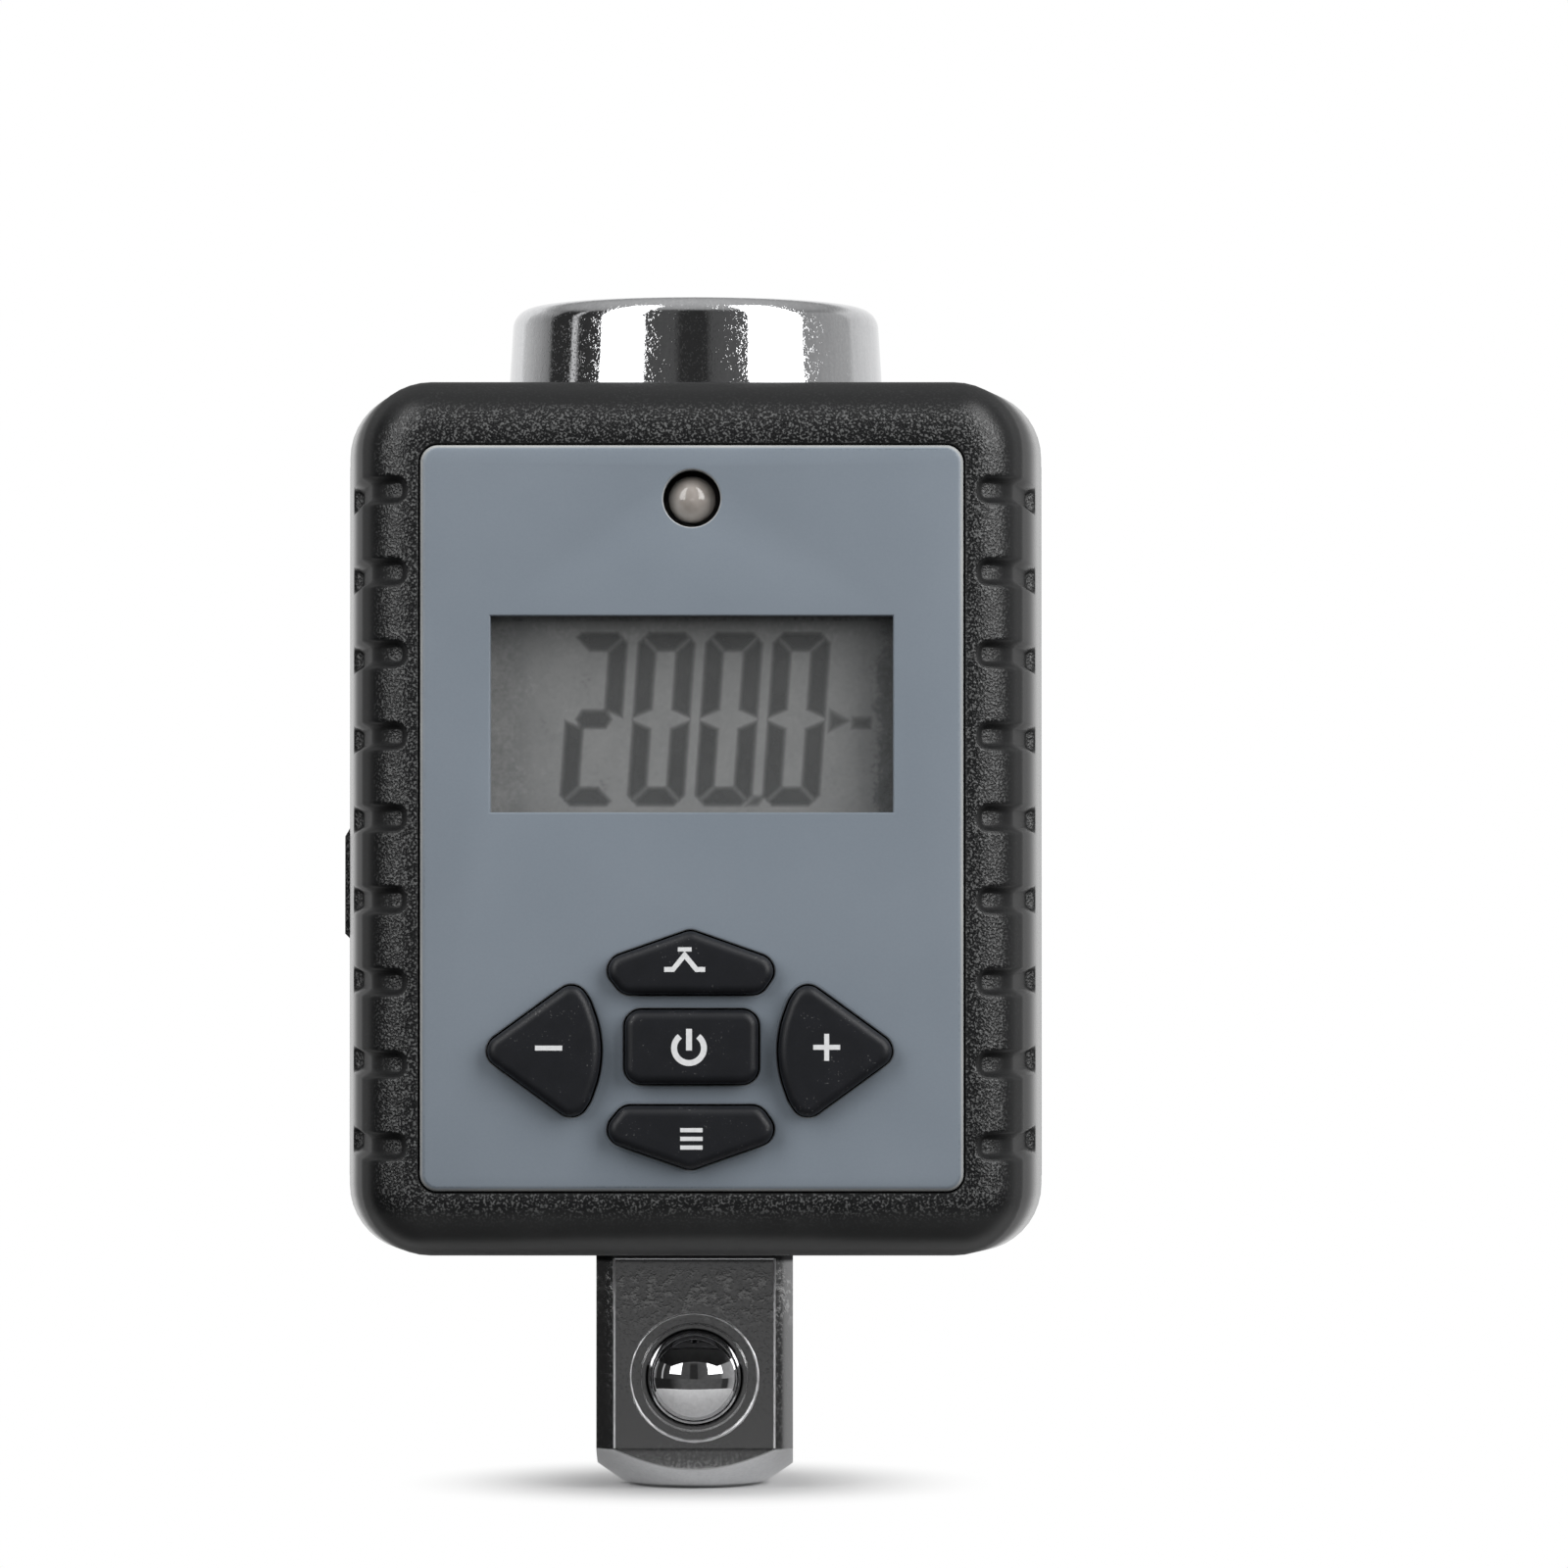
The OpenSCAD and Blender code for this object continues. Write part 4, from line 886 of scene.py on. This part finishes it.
class Shader(Nodes):
    """The nodes of a new material; values are set on its own shader."""

    def __init__(self, name, **values):
        self.material = bpy.data.materials.new(name)
        self.material.use_nodes = True
        super().__init__(self.material.node_tree)
        self.bsdf = self.nodes["Principled BSDF"]
        self.place = self.source("ShaderNodeTexCoord", "Object")
        for key, value in values.items():
            self.bsdf.inputs[key.replace("_", " ")].default_value = value

    def to(self, key, value):
        """Links a value to the shader."""
        self.links.new(value, self.bsdf.inputs[key])

    def noise(self, size, detail=3.0, rough=0.6, place=None):
        """Noise whose grains are about a size in millimetres."""
        node = self.nodes.new("ShaderNodeTexNoise")
        self.links.new(place or self.place, node.inputs["Vector"])
        node.inputs["Scale"].default_value = 1 / (size * MM)
        node.inputs["Detail"].default_value = detail
        node.inputs["Roughness"].default_value = rough
        return node.outputs["Fac"]

    def stretched(self, x, y, z):
        """The place in space, scaled along each axis."""
        node = self.nodes.new("ShaderNodeMapping")
        self.links.new(self.place, node.inputs["Vector"])
        node.inputs["Scale"].default_value = (x, y, z)
        return node.outputs["Vector"]

    def attribute(self, name):
        """The number that the mesh keeps for each of its points."""
        node = self.nodes.new("ShaderNodeAttribute")
        node.attribute_name = name
        return node.outputs["Fac"]

    def normal(self):
        """The x, y and z of the surface's direction."""
        return self.parts(self.source("ShaderNodeTexCoord", "Normal"))

    def away_from(self, point):
        """Distance from a point in millimetres."""
        node = self.nodes.new("ShaderNodeVectorMath")
        node.operation = "DISTANCE"
        self.links.new(self.place, node.inputs[0])
        node.inputs[1].default_value = [length * MM for length in point]
        return node.outputs["Value"]

    def span(self, value, low, high, to_low, to_high):
        """A value's range turned into another one, with soft ends."""
        node = self.nodes.new("ShaderNodeMapRange")
        node.interpolation_type = "SMOOTHSTEP"
        self.links.new(value, node.inputs["Value"])
        for key, number in (("From Min", low), ("From Max", high), ("To Min", to_low), ("To Max", to_high)):
            node.inputs[key].default_value = number
        return node.outputs["Result"]

    def along(self, axis, ends, to_low, to_high):
        """A value that changes between two places on an axis, in millimetres."""
        return self.span(self.parts(self.place)[axis], ends[0] * MM, ends[1] * MM, to_low, to_high)

    def vary(self, noise, low, high):
        """A value that follows a noise."""
        return self.span(noise, *NOISE, low, high)

    def tint(self, noise, dark, light):
        """A colour that follows a noise."""
        return self.ramp(noise, list(zip(NOISE, (dark, light))))

    def soft_edge(self, r):
        """The surface's direction, rounded over at the edges."""
        node = self.nodes.new("ShaderNodeBevel")
        node.samples = 4
        node.inputs["Radius"].default_value = r * MM
        return node.outputs["Normal"]

    def bump(self, height, strength, deep, normal=None):
        """Fine relief on the shader, up to so many millimetres deep."""
        node = self.nodes.new("ShaderNodeBump")
        node.inputs["Strength"].default_value = strength
        node.inputs["Distance"].default_value = deep * MM
        self.links.new(height, node.inputs["Height"])
        if normal:
            self.links.new(normal, node.inputs["Normal"])
        self.to("Normal", node.outputs["Normal"])


def speckled(name, dark, light, size, low, high, **values):
    """A plain material with fine variation of colour, gloss and height."""
    s = Shader(name, **values)
    grain = s.noise(size)
    s.to("Base Color", s.tint(grain, dark, light))
    s.to("Roughness", s.vary(grain, low, high))
    s.bump(grain, 0.3, 0.01)
    return s.material


def case_material():
    """Black moulded plastic with a bumpy grain: painted sparkle glints in its colour on what faces forward, a
    painted lighter low rim, and smoother down the sides.
    """
    s = Shader("case_black", Specular_IOR_Level=0.48)
    grain = s.noise(0.15, 1.0, 0.5)
    normal = s.normal()
    front = s.maths("ABSOLUTE", normal["Y"])
    upward = s.times(s.maths("ABSOLUTE", normal["Z"]), 0.25)
    # Painted light: the low rim is lighter in colour and has fewer painted glints
    rim = s.along("Z", CASE_PAINTED_RIM, 1.0, 0.0)
    ahead = s.span(s.maths("SUBTRACT", front, upward), 0.63, 0.90, 0.1, 1.0)
    ahead = s.times(ahead, s.maths("SUBTRACT", 1.0, s.times(rim, 0.9)))
    # Painted glints: pale specks of the grain in the colour, only on what faces forward
    shine = s.times(s.span(grain, 0.49, 0.68, 0.0, 1.0), ahead)
    tone = s.maths("ADD", s.shares(shine, 0.85, s.noise(4.0), 0.15), s.times(rim, 0.19))
    stops = [(0.0, (0.004, 0.0043, 0.0048)), (0.12, (0.0072, 0.0076, 0.0082))]
    s.to("Base Color", s.ramp(tone, stops + [(0.95, (0.135, 0.137, 0.137))]))
    channel = s.times(s.span(s.attribute("sunk"), 0.3, 0.9, 0, 1), s.span(front, 0.60, 0.93, 0.5, 0))
    fading = s.times(s.along("Y", CASE_SIDE, 0.46, 0), s.span(front, 0.3, 0.7, 1, 0))
    fading = s.maths("MAXIMUM", fading, channel)
    s.to("Roughness", s.maths("ADD", fading, s.span(front, 0.15, 0.80, 0.17, 0.34)))
    s.bump(s.times(grain, ahead), 0.8, 0.07, s.soft_edge(0.22))
    return s.material


def plate_material():
    """Blue-grey satin metal, with a painted highlight along its rounded edges and a painted shaded line just
    inside it.
    """
    s = Shader("plate_satin", Metallic=0.0, Specular_IOR_Level=0.45)
    fine = s.noise(0.12, 2.0, 0.5)
    cloud = s.noise(9.0, 2.0, 0.5)
    edge_light = s.attribute("edge_light")
    # Painted highlight on the rounded edges, less a painted shaded line where the edge meets the front
    line = s.maths("SUBTRACT", s.span(edge_light, 0.22, 0.5, 0.0, 0.6), s.span(edge_light, 0.0, 0.2, 0, 0.11))
    pale = s.maths("ADD", s.times(s.shares(fine, 0.35, cloud, 0.65), 0.5), line)
    stops = [(0.05, (0.16, 0.19, 0.22)), (0.15, (0.236, 0.275, 0.320)), (0.35, (0.264, 0.304, 0.352))]
    stops += [(0.62, (0.36, 0.38, 0.39)), (0.85, (0.59, 0.60, 0.59))]
    s.to("Base Color", s.ramp(pale, stops))
    s.to("Roughness", s.vary(fine, 0.30, 0.38))
    s.bump(fine, 0.12, 0.01)
    return s.material


def pane_material():
    """Clear pane, with a faint variation of its gloss."""
    s = Shader("clear_pane", Specular_IOR_Level=0.5, Alpha=0.05)
    faint = s.noise(3.0, 2.0)
    s.to("Base Color", s.tint(faint, (0.80, 0.82, 0.82), (0.9, 0.92, 0.92)))
    s.to("Roughness", s.vary(faint, 0.03, 0.08))
    return s.material


def display_material():
    """Grey liquid crystal cell, darker along its right and upper edges, with painted light towards its left
    side and its top.
    """
    s = Shader("display_grey", Specular_IOR_Level=0.3)
    cloud = s.noise(2.4, 4.0, 0.65)
    fine = s.noise(0.25, 2.0, 0.5)
    # Painted light: lighter towards the left side and the top, where the recess shades the cell
    pale = s.maths("MAXIMUM", s.along("X", PAINTED_LIGHT_LEFT, 0.28, 0), s.along("Z", PAINTED_LIGHT_TOP, 0, 0.16))
    # Darker along the right and upper edges
    dark = s.maths("MAXIMUM", s.along("X", DARK_RIGHT, 0, 0.44), s.along("Z", DARK_TOP, 0, 0.3))
    shade = s.maths("SUBTRACT", s.maths("ADD", s.shares(cloud, 0.6, fine, 0.4), pale), dark)
    stops = [(0.0, (0.04, 0.042, 0.043)), (0.22, (0.085, 0.088, 0.089)), (0.38, (0.175, 0.178, 0.178))]
    stops += [(0.65, (0.218, 0.220, 0.218)), (0.9, (0.33, 0.33, 0.325))]
    s.to("Base Color", s.ramp(shade, stops))
    s.to("Roughness", s.vary(fine, 0.45, 0.6))
    s.bump(fine, 0.1, 0.01)
    return s.material


def ink_material():
    """Black segments, see-through where their ink fades."""
    s = Shader("display_ink", Specular_IOR_Level=0.05)
    cloud = s.noise(1.1)
    s.to("Base Color", s.tint(cloud, (0.006, 0.0062, 0.0065), (0.018, 0.0183, 0.0183)))
    s.to("Roughness", s.vary(cloud, 0.5, 0.65))
    s.to("Alpha", s.times(s.attribute("ink"), s.span(cloud, 0.25, 0.6, 0.88, 1.0)))
    return s.material


def rubber_material():
    """Matt black rubber with a few pale specks of lint."""
    s = Shader("key_matte", Specular_IOR_Level=0.4)
    grain = s.noise(0.16)
    dust = s.noise(1.6)
    stops = [(0.35, (0.0075, 0.0085, 0.011)), (0.68, (0.0135, 0.0145, 0.0185))]
    black = s.ramp(s.shares(grain, 0.5, dust, 0.5), stops)
    lint = s.times(s.span(s.noise(0.14, 1.0, 0.5), 0.66, 0.74, 0, 1), s.span(dust, 0.5, 0.62, 0, 1))
    s.to("Base Color", s.blend(lint, black, (0.11, 0.11, 0.11)))
    s.to("Roughness", s.vary(grain, 0.5, 0.42))
    s.bump(grain, 0.25, 0.02)
    return s.material


def chrome_material():
    """Plated steel: bright with fine pits, a darker satin on the drive's flats, painted shade in the gap
    round the ball and painted shade on the shaft's neck.
    """
    s = Shader("chrome", Metallic=1.0)
    pits = s.noise(0.22, 2.0)
    wave = s.noise(0.55, 3.0, 0.65)
    scratch = s.noise(0.5, 3.0, 0.7, s.stretched(1, 1, 0.1))
    upright = s.span(s.normal()["Z"], -0.35, -0.15, 0, 1)
    satin = s.times(upright, s.along("Z", SATIN_TOP, 1, 0))
    worked = s.times(s.along("Z", WORKED_LOW, 0, 1), s.along("Z", WORKED_TOP, 1, 0))
    flecks = s.times(s.span(wave, 0.47, 0.66, 0, 1), worked)
    rough = s.times(satin, s.span(pits, 0.35, 0.65, 0.03, 0.08))
    s.to("Roughness", s.maths("ADD", rough, s.span(pits, 0.4, 0.75, 0.03, 0.07)))
    bright = s.tint(s.shares(pits, 0.5, scratch, 0.5), (0.68, 0.685, 0.70), (0.82, 0.825, 0.835))
    stops = [(0.0, (0.62, 0.62, 0.625)), (0.15, (0.70, 0.70, 0.705)), (1.0, (0.95, 0.95, 0.95))]
    steel = s.blend(satin, bright, s.ramp(flecks, stops))
    # Painted shade: a dark ring in the gap round the ball
    gap_shade = s.span(s.away_from((0, -FLAT_FRONT, BALL_Z)), BALL_GAP_SHADE[0] * MM, BALL_GAP_SHADE[1] * MM, 1, 0)
    neck = s.times(s.along("Z", NECK_LOW, 0, 1), s.along("Z", NECK_TOP, 1, 0))
    shade = s.maths("MAXIMUM", s.times(gap_shade, satin), neck)
    s.to("Base Color", s.blend(shade, steel, (0.06, 0.06, 0.062)))
    specks = s.times(s.span(s.noise(0.13, 1.0, 0.5), 0.58, 0.70, 0, 1), s.span(wave, 0.38, 0.58, 0, 1))
    specks = s.times(specks, s.along("Z", SPECKS_RISE, 0, 0.9))
    dents = s.times(s.span(pits, 0.55, 0.72, 0, 1), s.along("Z", DENTS_RISE, 0.0, 0.35))
    dents = s.maths("ADD", s.maths("ADD", dents, specks), s.times(flecks, satin))
    s.bump(dents, 0.22, 0.02, s.soft_edge(0.12))
    return s.material


def lamp_material():
    """Milky lens with a glossy skin."""
    soft = {"Subsurface_Weight": 0.25, "Subsurface_Radius": (0.8, 0.7, 0.6), "Subsurface_Scale": 0.6 * MM}
    s = Shader("lamp_milky", Specular_IOR_Level=0.5, Coat_Weight=0.8, **soft)
    cloud = s.noise(1.2, 2.0)
    s.to("Base Color", s.tint(cloud, (0.37, 0.335, 0.305), (0.46, 0.42, 0.39)))
    s.to("Roughness", s.vary(cloud, 0.12, 0.18))
    return s.material


def steel_material(name, low, high):
    """Plain steel between two values of roughness."""
    s = Shader(name, Metallic=1.0)
    fine = s.noise(0.3)
    s.to("Base Color", s.tint(fine, (0.62, 0.62, 0.63), (0.74, 0.74, 0.75)))
    s.to("Roughness", s.span(fine, 0.35, 0.75, low, high))
    s.bump(fine, 0.06, 0.01)
    return s.material


def slot_materials():
    """One material for each slot name of the record."""
    black = (0.012, 0.012, 0.013)
    screw = (0.03, 0.03, 0.032), (0.06, 0.06, 0.063)
    return {
        "case_plastic": case_material(),
        "plate_metal": plate_material(),
        "clear_window": pane_material(),
        "lcd_grey": display_material(),
        "lcd_ink": ink_material(),
        "black_plastic": speckled("inner_black", black, (0.03, 0.03, 0.031), 0.5, 0.4, 0.55),
        "elastomer": speckled("contact_rubber", (0.45, 0.30, 0.26), (0.6, 0.42, 0.36), 0.4, 0.5, 0.7),
        "board_green": speckled("board_mask", (0.010, 0.075, 0.025), (0.02, 0.12, 0.04), 0.8, 0.25, 0.4),
        "chip_black": speckled("chip_resin", black, (0.04, 0.04, 0.04), 0.2, 0.45, 0.6),
        "lamp_lens": lamp_material(),
        "key_rubber": rubber_material(),
        "switch_metal": steel_material("switch_steel", 0.2, 0.35),
        "chromed_steel": chrome_material(),
        "gauge_film": speckled("gauge_film", (0.55, 0.33, 0.08), (0.7, 0.45, 0.14), 0.5, 0.3, 0.5),
        "bush_plastic": speckled("bush_plastic", (0.62, 0.6, 0.55), (0.75, 0.73, 0.68), 0.6, 0.4, 0.55),
        "spring_steel": steel_material("spring_steel", 0.18, 0.32),
        "polished_steel": steel_material("polished_steel", 0.02, 0.05),
        "cell_wrap": speckled("cell_wrap", (0.16, 0.17, 0.18), (0.24, 0.25, 0.26), 1.2, 0.25, 0.4),
        "plated_contact": steel_material("plated_contact", 0.15, 0.3),
        "lead_wire": speckled("lead_wire", (0.30, 0.02, 0.02), (0.42, 0.035, 0.03), 0.5, 0.4, 0.55),
        "dark_screw": speckled("dark_screw", *screw, 0.3, 0.3, 0.45, Metallic=1.0),
    }


def dress_nodes(materials):
    """Every CAD node takes its slot's material, with smooth curved faces."""
    slots = {part["node"]: part["material_slot"] for part in frame["record"]["subparts"]}
    for name, obj in frame["nodes"].items():
        obj.data.materials.clear()
        obj.data.materials.append(materials[slots[name]])
        obj.data.shade_smooth()
        obj.data.set_sharp_from_angle(angle=math.radians(SHARP_CAD))


def world_light():
    """A photo studio by direction: dark round the camera and pale behind the object."""
    world = bpy.data.worlds.new("studio")
    bpy.context.scene.world = world
    world.use_nodes = True
    w = Nodes(world.node_tree)
    w.nodes.clear()
    x, y, z = w.parts(w.source("ShaderNodeTexCoord", "Generated"))
    turn = w.maths("DIVIDE", w.maths("ARCTAN2", x, w.times(y, -1.0)), 2 * math.pi)
    turn = w.maths("ADD", turn, 0.5)
    height = w.maths("ADD", w.times(z, 0.5), 0.5)
    level, low = (
        w.ramp(turn, [((a + 180) / 360, v) for a, v in stops]) for stops in (LIGHT_ROUND, LIGHT_LOW)
    )
    sides = w.blend(w.ramp(height, LOW_SHARE), level, low)
    studio, white = (w.nodes.new("ShaderNodeBackground") for _ in range(2))
    w.put(studio, "Color", w.blend(w.ramp(height, LIGHT_SHARE), sides, w.ramp(height, LIGHT_HEIGHT)))
    w.put(white, "Color", (1, 1, 1, 1))
    seen = w.source("ShaderNodeLightPath", "Is Camera Ray")
    light = w.mix(seen, studio.outputs[0], white.outputs[0])
    w.put(w.nodes.new("ShaderNodeOutputWorld"), 0, light)


def soft_boxes():
    """The two soft boxes beside the camera."""
    height = BOX_HIGH - BOX_LOW
    for turn, width, radiance in SOFT_BOXES:
        data = bpy.data.lights.new("soft_box", "AREA")
        data.shape = "RECTANGLE"
        data.size = width
        data.size_y = height
        data.energy = radiance * math.pi * width * height
        obj = bpy.data.objects.new("soft_box", data)
        bpy.context.scene.collection.objects.link(obj)
        a = math.radians(turn)
        obj.location = (BOX_AWAY * math.sin(a), -BOX_AWAY * math.cos(a), (BOX_LOW + BOX_HIGH) / 2)
        obj.rotation_euler = (math.pi / 2, 0, a)


def floor_material():
    """Pale grey that keeps the shadow and turns white for the camera away from the middle."""
    s = Shader("floor_pale", Roughness=0.7, Specular_IOR_Level=0.1)
    s.bsdf.inputs["Base Color"].default_value = (FLOOR_GREY, FLOOR_GREY, FLOOR_GREY, 1)
    fade = s.span(s.away_from((0, 0, 0)), FLOOR_FADE[0] * MM, FLOOR_FADE[1] * MM, 0, 1)
    seen = s.times(fade, s.source("ShaderNodeLightPath", "Is Camera Ray"))
    glow = s.source("ShaderNodeEmission", "Emission")
    s.put(s.nodes["Material Output"], 0, s.mix(seen, s.bsdf.outputs[0], glow))
    return s.material


def floor():
    """A round floor under the object."""
    mesh = bpy.data.meshes.new("floor")
    rim = circle(FLOOR_R, count=96)
    mesh.from_pydata([(x * MM, z * MM, 0) for x, z in rim], [], [tuple(range(len(rim)))])
    obj = bpy.data.objects.new("floor", mesh)
    bpy.context.scene.collection.objects.link(obj)
    mesh.materials.append(floor_material())


def camera():
    """The photo's camera."""
    data = bpy.data.cameras.new("camera")
    data.sensor_width = CAMERA_SENSOR
    data.lens = CAMERA_LENS
    data.clip_start, data.clip_end = CAMERA_CLIP
    obj = bpy.data.objects.new("camera", data)
    bpy.context.scene.collection.objects.link(obj)
    obj.location = Vector(CAMERA_AT) * MM
    obj.rotation_euler = (math.pi / 2 + CAMERA_PITCH, 0, 0)
    bpy.context.scene.camera = obj


camera()
floor()
world_light()
soft_boxes()
bpy.context.scene.view_settings.view_transform = "Standard"
finishes = slot_materials()
dress_nodes(finishes)
front_shell(finishes["case_plastic"])
front_shelf(finishes["case_plastic"])
face_plate(finishes["plate_metal"])
keys(finishes["key_rubber"], speckled("symbol_white", *SYMBOL_WHITE, 0.3, 0.4, 0.55))
blurred_ink(finishes["lcd_ink"])
flat_end(finishes["chromed_steel"])
drive_ridges(steel_material("worn_ridge", 0.36, 0.5))
ball_spring(finishes["spring_steel"])
